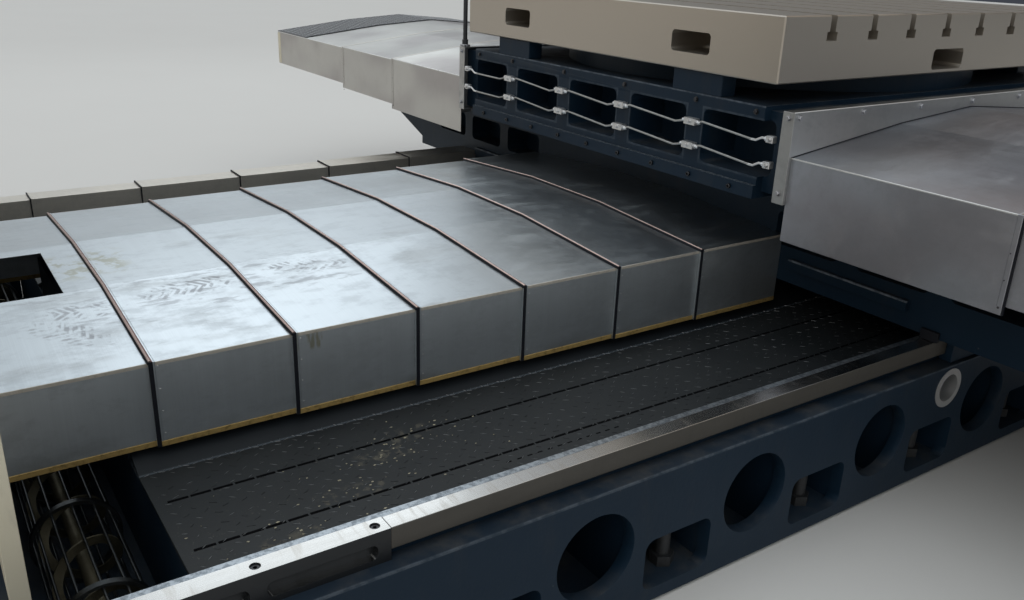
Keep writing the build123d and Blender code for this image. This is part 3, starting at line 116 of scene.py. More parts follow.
class Wire:
    """Value that varies over a surface. An expression on it adds its Math nodes."""

    def __init__(self, graph, socket):
        self.graph = graph
        self.socket = socket

    def maths(self, operation, *values, clamp=False):
        settings = {"operation": operation, "use_clamp": clamp}
        return self.graph.node("ShaderNodeMath", settings, dict(enumerate(values)))

    __add__, __radd__ = both_ways("ADD")
    __sub__, __rsub__ = both_ways("SUBTRACT")
    __mul__, __rmul__ = both_ways("MULTIPLY")
    __truediv__, __rtruediv__ = both_ways("DIVIDE")
    __mod__, __rmod__ = both_ways("FLOORED_MODULO")

    def __abs__(self):
        return self.maths("ABSOLUTE", self)

    def __mod__(self, other):
        return self.maths("FLOORED_MODULO", self, other)

    def clamp(self):
        return self.maths("ADD", self, 0.0, clamp=True)

    def out(self, name):
        """Another output of the same node."""
        return Wire(self.graph, self.socket.node.outputs[name])

    def ramp(self, low, high, start=0.0, end=1.0):
        """Goes smoothly from start to end as the value goes from low to high."""
        values = {"Value": self, "From Min": low, "From Max": high, "To Min": start, "To Max": end}
        return self.graph.node("ShaderNodeMapRange", {"interpolation_type": "SMOOTHSTEP"}, values)

    def near(self, centre, half, soft):
        """1 within half of centre, falling to 0 over the next soft."""
        return abs(self - centre).ramp(half, half + soft, 1.0, 0.0)


class Graph:
    """Node tree in the making. Every node comes from node()."""

    def __init__(self, tree):
        self.tree = tree
        self.spot = None

    def plug(self, socket, value):
        if isinstance(value, Wire):
            self.tree.links.new(value.socket, socket)
        elif socket.type == "RGBA" and len(value) == 3:
            socket.default_value = (*value, 1.0)
        else:
            socket.default_value = value

    def node(self, kind, settings=None, values=None, output=0):
        made = self.tree.nodes.new(kind)
        for key, value in (settings or {}).items():
            setattr(made, key, value)
        for key, value in (values or {}).items():
            self.plug(made.inputs[key], value)
        return Wire(self, made.outputs[output])

    def place(self):
        """Point of the surface in the frame at rest, in metres."""
        if self.spot is None:
            self.spot = self.node("ShaderNodeTexCoord", output="Object")
        return self.spot

    def axes(self):
        """x, y and z of that point."""
        split = self.node("ShaderNodeSeparateXYZ", values={0: self.place()})
        return split, split.out("Y"), split.out("Z")

    def noise(self, scale, detail=3.0, roughness=0.55, shift=0.0):
        """Noise from 0 to 1 with its own scale along x, y and z."""
        scale = scale if isinstance(scale, tuple) else (scale,) * 3
        spot = self.node("ShaderNodeVectorMath", {"operation": "MULTIPLY"}, {0: self.place(), 1: scale})
        if shift:
            spot = self.node("ShaderNodeVectorMath", {"operation": "ADD"}, {0: spot, 1: (shift,) * 3})
        values = {"Vector": spot, "Scale": 1.0, "Detail": detail, "Roughness": roughness}
        return self.node("ShaderNodeTexNoise", values=values)

    def mix(self, share, first, second):
        """Colour between two colours."""
        values = {0: share, 6: first, 7: second}
        return self.node("ShaderNodeMix", {"data_type": "RGBA"}, values, output=2)

    def bump(self, height, depth):
        return self.node("ShaderNodeBump", values={"Height": height, "Distance": depth, "Strength": 1.0})

    def upward(self):
        """z of the surface's own direction: 1 on a floor, 0 on a wall."""
        geometry = self.node("ShaderNodeNewGeometry", output="Normal")
        return self.node("ShaderNodeSeparateXYZ", values={0: geometry}, output="Z")


def darker(colour, share):
    return tuple(share * c for c in colour)


def make_material(name, paint):
    """Material whose shader takes the sockets that paint(graph) gives."""
    material = bpy.data.materials.new(name)
    material.use_nodes = True
    tree = material.node_tree
    tree.nodes.clear()
    graph = Graph(tree)
    shader = tree.nodes.new("ShaderNodeBsdfPrincipled")
    output = tree.nodes.new("ShaderNodeOutputMaterial")
    tree.links.new(shader.outputs[0], output.inputs[0])
    for socket, value in paint(graph).items():
        graph.plug(shader.inputs[socket], value)
    return material


def sole_print(graph, centre, turn, length, width):
    """Share of rubber rubbed off by one boot sole: broken chevrons in an oval."""
    x, y, z = graph.axes()
    c, s = math.cos(turn), math.sin(turn)
    along = (x - centre[0]) * c + (y - centre[1]) * s
    across = (y - centre[1]) * c - (x - centre[0]) * s
    tread = ((along + 0.8 * abs(across)) % 0.024).near(0.012, 0.0045, 0.005)
    oval = (along * along / length ** 2 + across * across / width ** 2).ramp(1.0, 0.55)
    return tread * oval


SOLE_PRINTS = (
    ((0.48, -1.48), 0.72, 0.145, 0.055),
    ((0.36, -1.43), 1.45, 0.120, 0.052),
    ((0.33, -1.14), 1.66, 0.165, 0.058),
    ((0.32, -0.79), 1.38, 0.150, 0.052),
)


def stainless(graph, tint, walked=False, far_reflection_tint=None):
    """Brushed sheet: fine lines across the folds, cloudy handling marks, oil and boot prints; painted shade on its
    steep walls, and with a far tint a painted reflection that turns the far side warmer.
    """
    x, y, z = graph.axes()
    lines = graph.noise((3.0, 260.0, 3.0), 2.0)
    broad = graph.noise((2.0, 55.0, 2.0), 2.0, shift=7.0)
    clouds = graph.noise((2.6, 2.2, 2.6), 4.0, 0.6)
    smears = graph.noise((9.0, 3.0, 9.0), 5.0, 0.65, shift=3.0)
    steep = graph.upward().ramp(0.3, 0.8, 1.0, 0.0)
    shade = 0.80 + 0.16 * clouds + 0.10 * lines + 0.08 * broad
    dull = smears.ramp(0.52, 0.72)
    stain = graph.noise((15.0, 8.0, 15.0), 5.0, 0.7, shift=15.0).ramp(0.46, 0.64)
    rough = 0.24 + 0.12 * clouds + 0.06 * lines + 0.10 * dull + 0.05 * stain + 0.10 * steep
    colour = graph.mix(shade, (0.0, 0.0, 0.0), tint)
    colour = graph.mix(0.22 * dull, colour, (0.30, 0.29, 0.27))
    # Stains darken the sheet in patches, and the steep walls get painted shade
    colour = graph.mix(0.13 * stain + 0.12 * steep, colour, (0.12, 0.13, 0.14))
    # Painted reflection: across x the colour turns from the near tint to the far tint, which stands for the warm floor
    # mirrored in the far side; soft warm blobs go over it
    if far_reflection_tint:
        colour = graph.mix(x.ramp(-1.0, 1.0), graph.mix(shade, (0.0, 0.0, 0.0), far_reflection_tint), colour)
        warm = graph.noise((2.2, 2.2, 3.0), 1.5, 0.5, shift=12.0).ramp(0.40, 0.64)
        colour = graph.mix(0.46 * warm, colour, (0.30, 0.265, 0.275))
    if walked:
        patch = graph.noise((30.0, 30.0, 30.0), 4.0, 0.65, shift=5.0).ramp(0.44, 0.62)
        mark = sum(sole_print(graph, *place) for place in SOLE_PRINTS)
        scuff = x.near(0.34, 0.09, 0.12) * y.near(-1.12, 0.36, 0.25) * graph.upward().ramp(0.7, 0.95)
        scuff = scuff * graph.noise((34.0, 9.0, 9.0), 4.0, 0.65, shift=11.0).ramp(0.52, 0.62)
        mark = (mark * patch + 0.6 * scuff).clamp()
        colour = graph.mix(0.48 * mark, colour, (0.25, 0.245, 0.26))
        rough = rough + 0.18 * mark
        oily = x.near(0.01, 0.06, 0.09) * y.near(-1.36, 0.07, 0.07)
        oil = oily * graph.noise(24.0, 5.0, 0.6, shift=2.0).ramp(0.47, 0.60)
        streak = graph.noise((4.0, 55.0, 9.0), 3.0, 0.6, shift=4.0).ramp(0.50, 0.62)
        drip = x.near(0.738, 0.01, 0.01) * y.near(-0.955, 0.030, 0.015) * z.near(0.598, 0.018, 0.014) * streak
        colour = graph.mix(0.50 * oil + 0.6 * drip, colour, (0.29, 0.26, 0.12))
    low = z.ramp(0.46, 0.40) * graph.noise((30.0, 4.0, 8.0), 3.0).ramp(0.45, 0.65)
    return {
        "Base Color": graph.mix(0.30 * low, colour, (0.10, 0.09, 0.07)),
        "Metallic": 1.0 - 0.09 * steep,
        "Roughness": rough,
        "Normal": graph.bump(lines + 2.0 * smears, 0.00012),
    }


def casting(graph, colour, machined=None, rubbed=None):
    """Satin paint on a casting: slight orange peel, dust on top, chipped places, and painted highlights along the
    edges given to it.
    """
    x, y, z = graph.axes()
    peel = graph.noise(90.0, 2.0)
    clouds = graph.noise(3.0, 4.0, 0.6)
    grime = graph.noise((9.0, 9.0, 3.0), 5.0, 0.65, shift=4.0)
    chips = graph.noise(38.0, 4.0, 0.7, shift=9.0).ramp(0.72, 0.76)
    dust = graph.upward().ramp(0.55, 0.95) * (0.25 + 0.75 * grime.ramp(0.40, 0.70))
    dark = graph.mix(0.65 * clouds, colour, darker(colour, 0.6))
    worn = graph.mix(0.25 * grime.ramp(0.50, 0.75), dark, (0.036, 0.036, 0.036))
    dusty = graph.mix(0.28 * dust, worn, (0.120, 0.110, 0.094))
    painted = graph.mix(0.6 * chips, dusty, (0.12, 0.12, 0.12))
    rough = 0.36 + 0.20 * clouds + 0.25 * dust
    metal = 0.0
    # Painted highlight: pale lines along the edges that the mask picks, broken by noise
    if rubbed:
        patchy = 0.35 + 0.65 * graph.noise(26.0, 4.0, 0.7, shift=14.0).ramp(0.40, 0.60)
        painted = graph.mix(rubbed(x, y, z) * patchy, painted, (0.150, 0.175, 0.205))
    if machined:
        bare = machined(x, y, z) * graph.upward().ramp(0.3, 0.6)
        lines = graph.noise((160.0, 3.0, 3.0), 3.0)
        speckle = graph.noise(70.0, 4.0, 0.75, shift=6.0).ramp(0.40, 0.60)
        steel = graph.mix(0.4 * lines + 0.6 * speckle, (0.46, 0.50, 0.54), (0.13, 0.15, 0.17))
        painted = graph.mix(bare, painted, steel)
        metal = 0.9 * bare
        rough = rough * (1 - bare) + 0.34 * bare
    return {
        "Base Color": painted,
        "Metallic": metal,
        "Roughness": rough,
        "Specular IOR Level": 0.17,
        "Normal": graph.bump(peel + 3.0 * grime, 0.0003),
    }


def ground_steel(graph, side=(0.074, 0.067, 0.057)):
    """Ground way: lines along y, thin oil, rubbed patches; its sides are darker and less metallic than its top."""
    lines = graph.noise((420.0, 3.0, 420.0), 2.0)
    patches = graph.noise((22.0, 5.0, 22.0), 5.0, 0.7)
    rubs = graph.noise((6.0, 40.0, 6.0), 3.0, 0.6, shift=3.0).ramp(0.50, 0.66)
    top = graph.upward().ramp(0.80, 0.97)
    ground = graph.mix(0.22 * lines + 0.40 * patches, (0.68, 0.68, 0.67), (0.38, 0.35, 0.31))
    ground = graph.mix(0.30 * rubs, ground, (0.38, 0.34, 0.29))
    side_tone = graph.mix(0.7 * patches, side, darker(side, 0.45))
    return {
        "Base Color": graph.mix(top, side_tone, ground),
        "Metallic": 0.15 + 0.85 * top,
        "Roughness": 0.13 + 0.12 * patches + 0.05 * rubs + 0.26 * (1 - top),
        "Normal": graph.bump(lines, 0.00004),
    }


def table_iron(graph):
    """Planed cast iron: feed lines, light oil, rubbed pale patches on the sides, and painted shade on the end face at
    +x.
    """
    x, y, z = graph.axes()
    lines = graph.noise((3.0, 3.0, 330.0), 2.0)
    top_lines = graph.noise((3.0, 240.0, 3.0), 2.0, shift=2.0)
    clouds = graph.noise((1.6, 1.6, 3.0), 4.0, 0.6)
    streaks = graph.noise((7.0, 7.0, 1.2), 4.0, 0.6, shift=6.0)
    rubbed = x.near(-0.42, 0.10, 0.14) * z.ramp(1.30, 1.21) * graph.noise(9.0, 4.0).ramp(0.42, 0.62)
    colour = graph.mix(0.55 * clouds + 0.25 * streaks, (0.92, 0.745, 0.535), (0.70, 0.56, 0.40))
    colour = graph.mix(0.45 * rubbed, colour, (0.50, 0.49, 0.46))
    # Painted shade: the end face at +x turns a darker grey
    colour = graph.mix(0.85 * x.ramp(0.8995, 0.9015), colour, (0.33, 0.33, 0.345))
    return {
        "Base Color": colour,
        "Metallic": 0.85,
        "Roughness": 0.30 + 0.14 * clouds + 0.05 * lines,
        "Normal": graph.bump(lines + top_lines, 0.00008),
    }


DUST_PATCHES = (
    ((1.084, -1.006), (0.016, 0.075)),
    ((0.900, -0.775), (0.020, 0.055)),
    ((0.965, -0.870), (0.012, 0.060)),
    ((1.190, -1.190), (0.016, 0.060)),
)


def chip_plate(graph):
    """Dark oiled plate: brown film, pale dust in patches and powder beside the way, painted shade on the rise under
    the cover and a painted highlight along the fold.
    """
    x, y, z = graph.axes()
    clouds = graph.noise(5.0, 5.0, 0.65)
    broad = graph.noise((1.3, 0.8, 1.0), 3.0, 0.6, shift=5.0)
    fine = graph.noise(160.0, 3.0, 0.7, shift=3.0)
    edge = graph.noise(42.0, 4.0, 0.6, shift=8.0)
    rim = 0.024
    dust = sum(
        x.near(near_x, half_x, rim) * y.near(near_y, half_y, rim)
        for (near_x, near_y), (half_x, half_y) in DUST_PATCHES
    )
    dust = dust * edge.ramp(0.48, 0.60) * graph.upward().ramp(0.9, 0.99)
    powder = x.near(1.02, 0.10, 0.14) * y.near(-0.95, 0.30, 0.45)
    grains = fine.ramp(0.60, 0.70) * edge.ramp(0.50, 0.64)
    base = graph.mix(0.6 * clouds + 0.4 * broad, (0.0115, 0.0148, 0.0180), (0.032, 0.034, 0.034))
    # Painted shade: the rise between the fold and the cover is darker
    base = graph.mix(0.60 * abs(x).ramp(0.764, 0.756), base, (0.006, 0.009, 0.013))
    # Painted highlight: a pale line along the fold
    base = graph.mix(0.50 * abs(x).near(0.763, 0.0015, 0.0025), base, (0.085, 0.105, 0.125))
    base = graph.mix((0.30 * dust + 0.45 * (powder * grains)).clamp(), base, (0.24, 0.22, 0.17))
    return {
        "Base Color": base,
        "Roughness": (0.40 + 0.26 * clouds + 0.25 * dust).clamp(),
        "Metallic": 0.2,
        "Specular IOR Level": 0.35,
        "Normal": graph.bump(fine * 0.25 + clouds, 0.0008),
    }


def sheet_paint(graph, colour, rough=0.42):
    """Powder paint on sheet: fine texture, soft dirt."""
    clouds = graph.noise(4.0, 4.0, 0.6)
    dirt = graph.noise((14.0, 14.0, 5.0), 5.0, 0.7, shift=5.0).ramp(0.52, 0.74)
    base = graph.mix(0.5 * clouds, colour, darker(colour, 0.82))
    return {
        "Base Color": graph.mix(0.35 * dirt, base, darker(colour, 0.45)),
        "Roughness": rough + 0.14 * clouds,
        "Normal": graph.bump(graph.noise(320.0, 2.0), 0.0002),
    }


def bare_metal(graph, tint, dirt_colour, rough=0.3, dirty=0.35, metallic=1.0):
    """Small bright or stained metal part."""
    clouds = graph.noise(26.0, 4.0, 0.65)
    dirt = graph.noise(60.0, 4.0, 0.7, shift=4.0).ramp(0.48, 0.68)
    base = graph.mix(0.6 * clouds, tint, darker(tint, 0.6))
    return {
        "Base Color": graph.mix(dirty * dirt, base, dirt_colour),
        "Metallic": metallic,
        "Roughness": rough + 0.18 * clouds,
        "Normal": graph.bump(clouds, 0.0002),
    }


def rubber(graph):
    """Black wiper rubber, slightly greasy."""
    clouds = graph.noise(18.0, 4.0, 0.6)
    return {
        "Base Color": graph.mix(clouds, (0.004, 0.005, 0.009), (0.012, 0.013, 0.017)),
        "Roughness": 0.50 + 0.2 * clouds,
        "Specular IOR Level": 0.2,
        "Normal": graph.bump(graph.noise(240.0, 2.0), 0.0001),
    }


def bed_bare(x, y, z):
    """Bare strip of the bed beside each outer way."""
    return abs(x).near(1.344, 0.014, 0.002) * z.near(0.460, 0.004, 0.002)


def carriage_bare(x, y, z):
    """Bright edge of the carriage's lower flange."""
    return z.near(0.873, 0.003, 0.001) + abs(x).near(0.86, 0.002, 0.001) * z.near(1.125, 0.002, 0.001)


def bed_painted_highlight(x, y, z):
    """Painted highlight along the edge of the bed's outer shoulders."""
    return 0.35 * (abs(x).near(1.440, 0.004, 0.002) * z.near(0.390, 0.004, 0.002))


def carriage_painted_highlight(x, y, z):
    """Painted highlight along the top edges of the carriage's faces and the rims of its pockets."""
    face = abs(y - CROSS_CENTRE).near(0.936, 0.003, 0.001)
    across = abs((x + 0.186) % 0.372 - 0.186) - 0.145
    rim = across.maths("MAXIMUM", across, abs(z - 0.990) - 0.090).near(0.003, 0.003, 0.002)
    return face * (0.22 * (rim * abs(x).ramp(0.899, 0.895)) + 0.60 * z.near(1.125, 0.004, 0.002))


def saddle_painted_highlight(x, y, z):
    """Painted highlight along the corner of the two ledges on the saddle's faces."""
    return z.near(0.566, 0.004, 0.001) * abs(y - CROSS_CENTRE).near(0.6635, 0.0035, 0.0015)


# Colour, colour of the dirt, roughness, share of dirt and metal of each metal finish
METALS = {
    "cage_steel": ((0.105, 0.110, 0.112), (0.03, 0.03, 0.03), 0.24),
    "coil_steel": ((0.125, 0.110, 0.072), (0.04, 0.035, 0.02), 0.38, 0.4, 0.7),
    "bright_steel": ((0.78, 0.78, 0.77), (0.25, 0.24, 0.22), 0.16, 0.2),
    "pipe_steel": ((0.42, 0.42, 0.41), (0.14, 0.13, 0.12), 0.22, 0.4),
    "screw_steel": ((0.40, 0.40, 0.41), (0.10, 0.09, 0.08), 0.25),
    "dark_bolt": ((0.075, 0.075, 0.080), (0.02, 0.02, 0.02), 0.30),
    "jack_steel": ((0.050, 0.052, 0.055), (0.02, 0.02, 0.02), 0.45, 0.5, 0.6),
    "copper_lip": ((0.61, 0.45, 0.395), (0.27, 0.15, 0.13), 0.20, 0.4),
    "lip_shade": ((0.20, 0.075, 0.060), (0.05, 0.02, 0.02), 0.35, 0.5, 0.6),
    "brass_strip": ((0.47, 0.32, 0.115), (0.08, 0.055, 0.02), 0.42, 0.6, 0.4),
    "hem_painted_highlight": ((0.70, 0.645, 0.56), (0.34, 0.30, 0.24), 0.25, 0.35, 0.45),
    "white_hem_painted_highlight": ((0.86, 0.86, 0.84), (0.50, 0.49, 0.46), 0.22, 0.25, 0.6),
    "worn_mark": ((0.235, 0.245, 0.250), (0.06, 0.06, 0.058), 0.34, 0.85, 0.7),
    "tread_mark": ((0.52, 0.52, 0.52), (0.12, 0.12, 0.12), 0.30, 0.35),
    "flake": ((0.46, 0.42, 0.30), (0.24, 0.21, 0.14), 0.5, 0.5, 0.2),
}
PAINTS = {
    "cover_sheet": lambda g: stainless(g, colours().long_cover, walked=True),
    "side_sheet": lambda g: stainless(g, colours().side_cover),
    # Painted reflection: the bluish near tint and the warm far tint stand for what each side of the cross covers
    # mirrors
    "cross_sheet": lambda g: stainless(g, (0.52, 0.545, 0.595), far_reflection_tint=(0.54, 0.53, 0.505)),
    "adapter_sheet": lambda g: stainless(g, (0.48, 0.48, 0.47)),
    "bed_paint": lambda g: casting(g, colours().casting, bed_bare, bed_painted_highlight),
    "carriage_paint": lambda g: casting(g, colours().casting, carriage_bare, carriage_painted_highlight),
    "saddle_paint": lambda g: casting(g, colours().casting, rubbed=saddle_painted_highlight),
    "casting_paint": lambda g: casting(g, colours().casting),
    "ground_steel": ground_steel,
    "way_block": lambda g: ground_steel(g, (0.013, 0.015, 0.018)),
    "table_iron": table_iron,
    "chip_plate": chip_plate,
    "cream_paint": lambda g: sheet_paint(g, colours().guards),
    "black_plate": lambda g: sheet_paint(g, (0.018, 0.018, 0.021)),
    "motor_paint": lambda g: sheet_paint(g, (0.022, 0.024, 0.028)),
    "slot_shade": lambda g: {**sheet_paint(g, (0.0020, 0.0022, 0.0028), 0.7), "Specular IOR Level": 0.05},
    "rubber": rubber,
}

# Finish of each node; the covers have theirs by name, and the rest is painted casting
NODE_FINISHES = {
    "bed_paint": ("table_bed",),
    "carriage_paint": ("carriage",),
    "saddle_paint": ("saddle",),
    "ground_steel": ("outer_ways", "inner_ways", "x_ways", "column_ways"),
    "way_block": ("way_end_block",),
    "dark_bolt": ("way_screws",),
    "chip_plate": ("trough_plates",),
    "jack_steel": ("levelling_jacks",),
    "bright_steel": ("lifting_bushes", "lube_blocks", "spindle_sleeve", "boring_spindle"),
    "pipe_steel": ("lube_pipes",),
    "cage_steel": ("conveyor_cage",),
    "coil_steel": ("conveyor_coil",),
    "screw_steel": ("x_ball_screw", "y_ball_screw", "z_ball_screw"),
    "motor_paint": ("conveyor_motor", "spindle_motor", "z_motor"),
    "cream_paint": ("guard_wings",),
    "black_plate": ("tread_plates",),
    "adapter_sheet": ("adapter_plates",),
    "table_iron": ("rotary_table",),
}
# The finishes whose pieces keep flat faces
FLAT_FINISHES = ("rubber", "lip_shade", "slot_shade", "flake")
FINISH_OF_NODE = {node: finish for finish, nodes in NODE_FINISHES.items() for node in nodes}
COVER_FINISHES = (("x_cover_", "cross_sheet"), ("side_cover_", "side_sheet"), ("_cover_", "cover_sheet"))


def material(name):
    """Material of a finish, made when it is first asked for."""
    made = bpy.data.materials.get(name)
    if made is None and name in METALS:
        made = make_material(name, lambda graph: bare_metal(graph, *METALS[name]))
    return made or make_material(name, PAINTS[name])


def node_material(node):
    for part, finish in COVER_FINISHES:
        if part in node:
            return material(finish)
    return material(FINISH_OF_NODE.get(node, "casting_paint"))


def ordered(corner, other):
    """Lowest and highest corner of the box between two opposite ones."""
    pairs = [sorted(pair) for pair in zip(corner, other)]
    return [low for low, _ in pairs], [high for _, high in pairs]


def paced(start, end, pitch):
    """Values from start on, a pitch apart, that stay below end."""
    while start < end:
        yield start
        start += pitch


class Pile:
    """Corners and faces of like parts, gathered into one mesh."""

    def __init__(self):
        self.points = []
        self.faces = []

    def rings(self, rings):
        """Closed skin over rings of equally many points, each a loop."""
        start, count = len(self.points), len(rings[0])
        last = start + (len(rings) - 1) * count
        for ring in rings:
            self.points += [tuple(p) for p in ring]
        for low in range(start, last, count):
            for j in range(count):
                k = (j + 1) % count
                self.faces.append((low + j, low + k, low + count + k, low + count + j))
        self.faces.append(tuple(range(start + count - 1, start - 1, -1)))
        self.faces.append(tuple(range(last, last + count)))

    def block(self, corner, other, edge=0.001):
        """Box between two opposite corners, with its edges cut off."""
        low, high = ordered(corner, other)
        e = min(edge, *((b - a) / 3 for a, b in zip(low, high)))
        rings = []
        for inset, z in ((e, low[2]), (0, low[2] + e), (0, high[2] - e), (e, high[2])):
            x0, x1, y0, y1 = low[0] + inset, high[0] - inset, low[1] + inset, high[1] - inset
            corners = [(x0 + e, y0), (x1 - e, y0), (x1, y0 + e), (x1, y1 - e)]
            corners += [(x1 - e, y1), (x0 + e, y1), (x0, y1 - e), (x0, y0 + e)]
            rings.append([(x, y, z) for x, y in corners])
        self.rings(rings)

    def lathe(self, profile, centre, axis, steps):
        """Turned form: profile gives (radius, distance along axis)."""
        turn = Vector(axis).to_track_quat("Z", "Y")
        angles = [2 * math.pi * i / steps for i in range(steps)]
        self.rings([
            [Vector(centre) + turn @ Vector((radius * math.cos(a), radius * math.sin(a), along)) for a in angles]
            for radius, along in profile
        ])

    def rivet(self, centre, axis, radius, height):
        profile = [(radius, 0), (radius * 0.92, height * 0.45), (radius * 0.6, height * 0.85), (radius * 0.2, height)]
        self.lathe(profile, centre, axis, 8)

    def hex_bolt(self, centre, axis, size):
        """Washer and hexagon head; size is the head's radius."""
        self.lathe([(size * 1.35, 0), (size * 1.35, size * 0.22), (size * 1.2, size * 0.26)], centre, axis, 16)
        self.lathe([(size, size * 0.2), (size, size * 0.95), (size * 0.85, size * 1.1)], centre, axis, 6)

    def cap_screw(self, centre, axis, r):
        """Round head of radius r with a socket."""
        profile = [(r, 0), (r, r * 0.85), (r * 0.9, r), (r * 0.55, r), (r * 0.5, r * 0.45), (r * 0.05, r * 0.4)]
        self.lathe(profile, centre, axis, 12)

    def tube(self, path, radius):
        """Round bar along a path of points, its turns mitred."""
        angles = [2 * math.pi * j / 10 for j in range(10)]
        path = [Vector(spot) for spot in path]
        rings = []
        for i, here in enumerate(path):
            before = (here - path[max(i - 1, 0)]).normalized()
            after = (path[min(i + 1, len(path) - 1)] - here).normalized()
            along = (before + after).normalized()
            side = side - along * side.dot(along) if i else along.orthogonal()
            side = side.normalized() * radius
            across = along.cross(side)
            rings.append([here + side * math.cos(a) + across * math.sin(a) for a in angles])
        self.rings(rings)

    def plate(self, corner, other, axis, shares, size, screws):
        """Cover plate with screws at shares of its width and height; axis is the way that it faces."""
        low, high = ordered(corner, other)
        self.block(low, high, 0.002)
        u, v = [i for i in range(3) if not axis[i]]
        spot = [high[i] if axis[i] > 0 else low[i] for i in range(3)]
        for first in shares:
            for second in shares:
                spot[u] = low[u] + (high[u] - low[u]) * first
                spot[v] = low[v] + (high[v] - low[v]) * second
                screws.cap_screw(spot, axis, size)

    def fins(self, centre, axis, radius, low, high, pitch, proud):
        """Cooling fins round a motor: discs along the axis."""
        foot, rim = radius - 0.003, radius + proud
        for at in paced(low, high - 0.004, pitch):
            profile = [(foot, at), (rim, at + 0.0008), (rim, at + 0.0028), (foot, at + 0.0036)]
            self.lathe(profile, centre, axis, 40)

    def piece(self, name, finish, body, slot=None):
        """Object from what was gathered, riding on a body."""
        mesh = bpy.data.meshes.new(name)
        mesh.from_pydata(self.points, [], self.faces)
        mesh.validate()
        shell = bmesh.new()
        shell.from_mesh(mesh)
        bmesh.ops.recalc_face_normals(shell, faces=shell.faces)
        shell.to_mesh(mesh)
        shell.free()
        mesh.materials.append(material(finish))
        made = add_object(name, mesh)
        if finish not in FLAT_FINISHES:
            mesh.shade_smooth()
            mesh.set_sharp_from_angle(angle=math.radians(32))
        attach(made, body)


def wrap(line, lift):
    """Outline of (sideways, z) points moved outwards, its corners kept square."""
    sides = []
    for (a, b), (c, d) in zip(line, line[1:]):
        length = math.hypot(c - a, d - b)
        sides.append(((b - d) / length, (c - a) / length))
    moved = []
    for i, (a, b) in enumerate(line):
        u, v = sides[max(i - 1, 0)], sides[min(i, len(sides) - 1)]
        x, z = u[0] + v[0], u[1] + v[1]
        scale = 2 * lift / (x * x + z * z)
        moved.append((a + x * scale, b + z * scale))
    return moved


def band(pile, line, across, spot, toward, profile):
    """Strip over a cover whose outline is line: profile gives (distance along the cover, height)."""
    rows = []
    for along, lift in profile:
        at = spot + toward * along
        rows.append([(s, at, z) if across == "x" else (at, s, z) for s, z in wrap(line, lift)])
    pile.rings([list(column) for column in zip(*rows)])


def long_line(half, top, bottom):
    """(x, z) outline of the long cover, from one lower edge over the roof to the other."""
    edge = top - LONG_ROOF_DROP
    roof = [(-half, edge), (-LONG_FLAT_HALF, top), (LONG_FLAT_HALF, top), (half, edge)]
    return [(-half, bottom), *roof, (half, bottom)]


def cross_line(step, bottom):
    """(y, z) outline of a cover along x; step counts outwards from the carriage."""
    half, down = CROSS_HALF - step * CROSS_STEP_SIDE, step * CROSS_STEP_DOWN
    roof = [(-half, CROSS_EDGE - down), (-CROSS_KNEE, CROSS_KNEE_TOP - down), (0.0, CROSS_RIDGE - down)]
    roof += [(CROSS_KNEE, CROSS_KNEE_TOP - down), (half, CROSS_EDGE - down)]
    return [(CROSS_CENTRE + s, z) for s, z in [(-half, bottom), *roof, (half, bottom)]]


def both_faces(y):
    """y of a near face of the carriage and of its mirror image, each with the way that it faces."""
    return (y, -1), (2 * CROSS_CENTRE - y, 1)


def roof_height(line, spot):
    """Height of an outline's roof at a place."""
    for (a, b), (c, d) in zip(line[1:-1], line[2:-1]):
        if a <= spot <= c:
            return b + (d - b) * (spot - a) / (c - a)
    raise ValueError(f"{spot} is outside the roof")


BEAD = [(0, -0.001), (0, 0.0022), (0.0012, 0.0034), (0.0036, 0.0040), (0.0054, 0.0032), (0.0062, -0.001)]
BEAD_SHADE = [(0.0062, -0.001), (0.0062, 0.0018), (0.0092, 0.0010), (0.0092, -0.001)]
WIPER = [(-0.0024, -0.0065), (-0.0024, -0.0030), (-0.0004, 0.0012), (0.0001, 0.0012), (0.0001, -0.0065)]
SIDE_SHADOW_STRIP = [(-0.0008, -0.0004), (-0.0008, 0.0012), (0.0096, 0.0012), (0.0096, -0.0004)]
PLAIN_LIP = [(0, -0.001), (0, 0.0012), (0.0015, 0.0022), (0.008, 0.0022), (0.0095, 0.001), (0.0095, -0.001)]
JOINT_SEAL = [(-0.0006, -0.0072), (-0.0006, -0.0005), (0.0042, -0.0005), (0.0042, -0.0072)]
TREAD_EDGE = [(0, -0.001), (0, 0.0005), (0.012, 0.0005), (0.012, -0.001)]
SIDE_LIP = [(0, -0.001), (0, 0.0008), (0.004, 0.0010), (0.005, -0.001)]
SIDE_SEAL = [(0, -0.0036), (0, 0.0012), (0.0045, 0.0012), (0.0045, -0.0036)]
ADAPTER_SEAL = [(0, -0.0004), (0, 0.0028), (0.0022, 0.0018), (0.0032, -0.0004)]

# Turned forms: (radius, distance along the axis)
PIPE_NUT = [(0.0078, 0), (0.0078, 0.008), (0.0058, 0.010), (0.0058, 0.017), (0.0048, 0.018)]
BLOCK_PLUG = [(0.0065, 0), (0.0065, 0.006), (0.0045, 0.007)]
END_PLUG = [(0.0072, 0), (0.0072, 0.006), (0.005, 0.007)]
END_NUT = [(0.0078, 0), (0.0078, 0.008), (0.0055, 0.010)]
POST = [(0.014, 0.008), (0.014, 0.030), (0.010, 0.032), (0.010, 0.226), (0.008, 0.230)]
CONVEYOR_COWL = [(0.085, 1.790), (0.093, 1.794), (0.093, 1.842), (0.084, 1.8475), (0.030, 1.8475)]
SPINDLE_COWL = [(0.150, 2.870), (0.164, 2.874), (0.164, 2.930), (0.150, 2.9385), (0.04, 2.9385)]
RIVET = (0.0024, 0.0010)


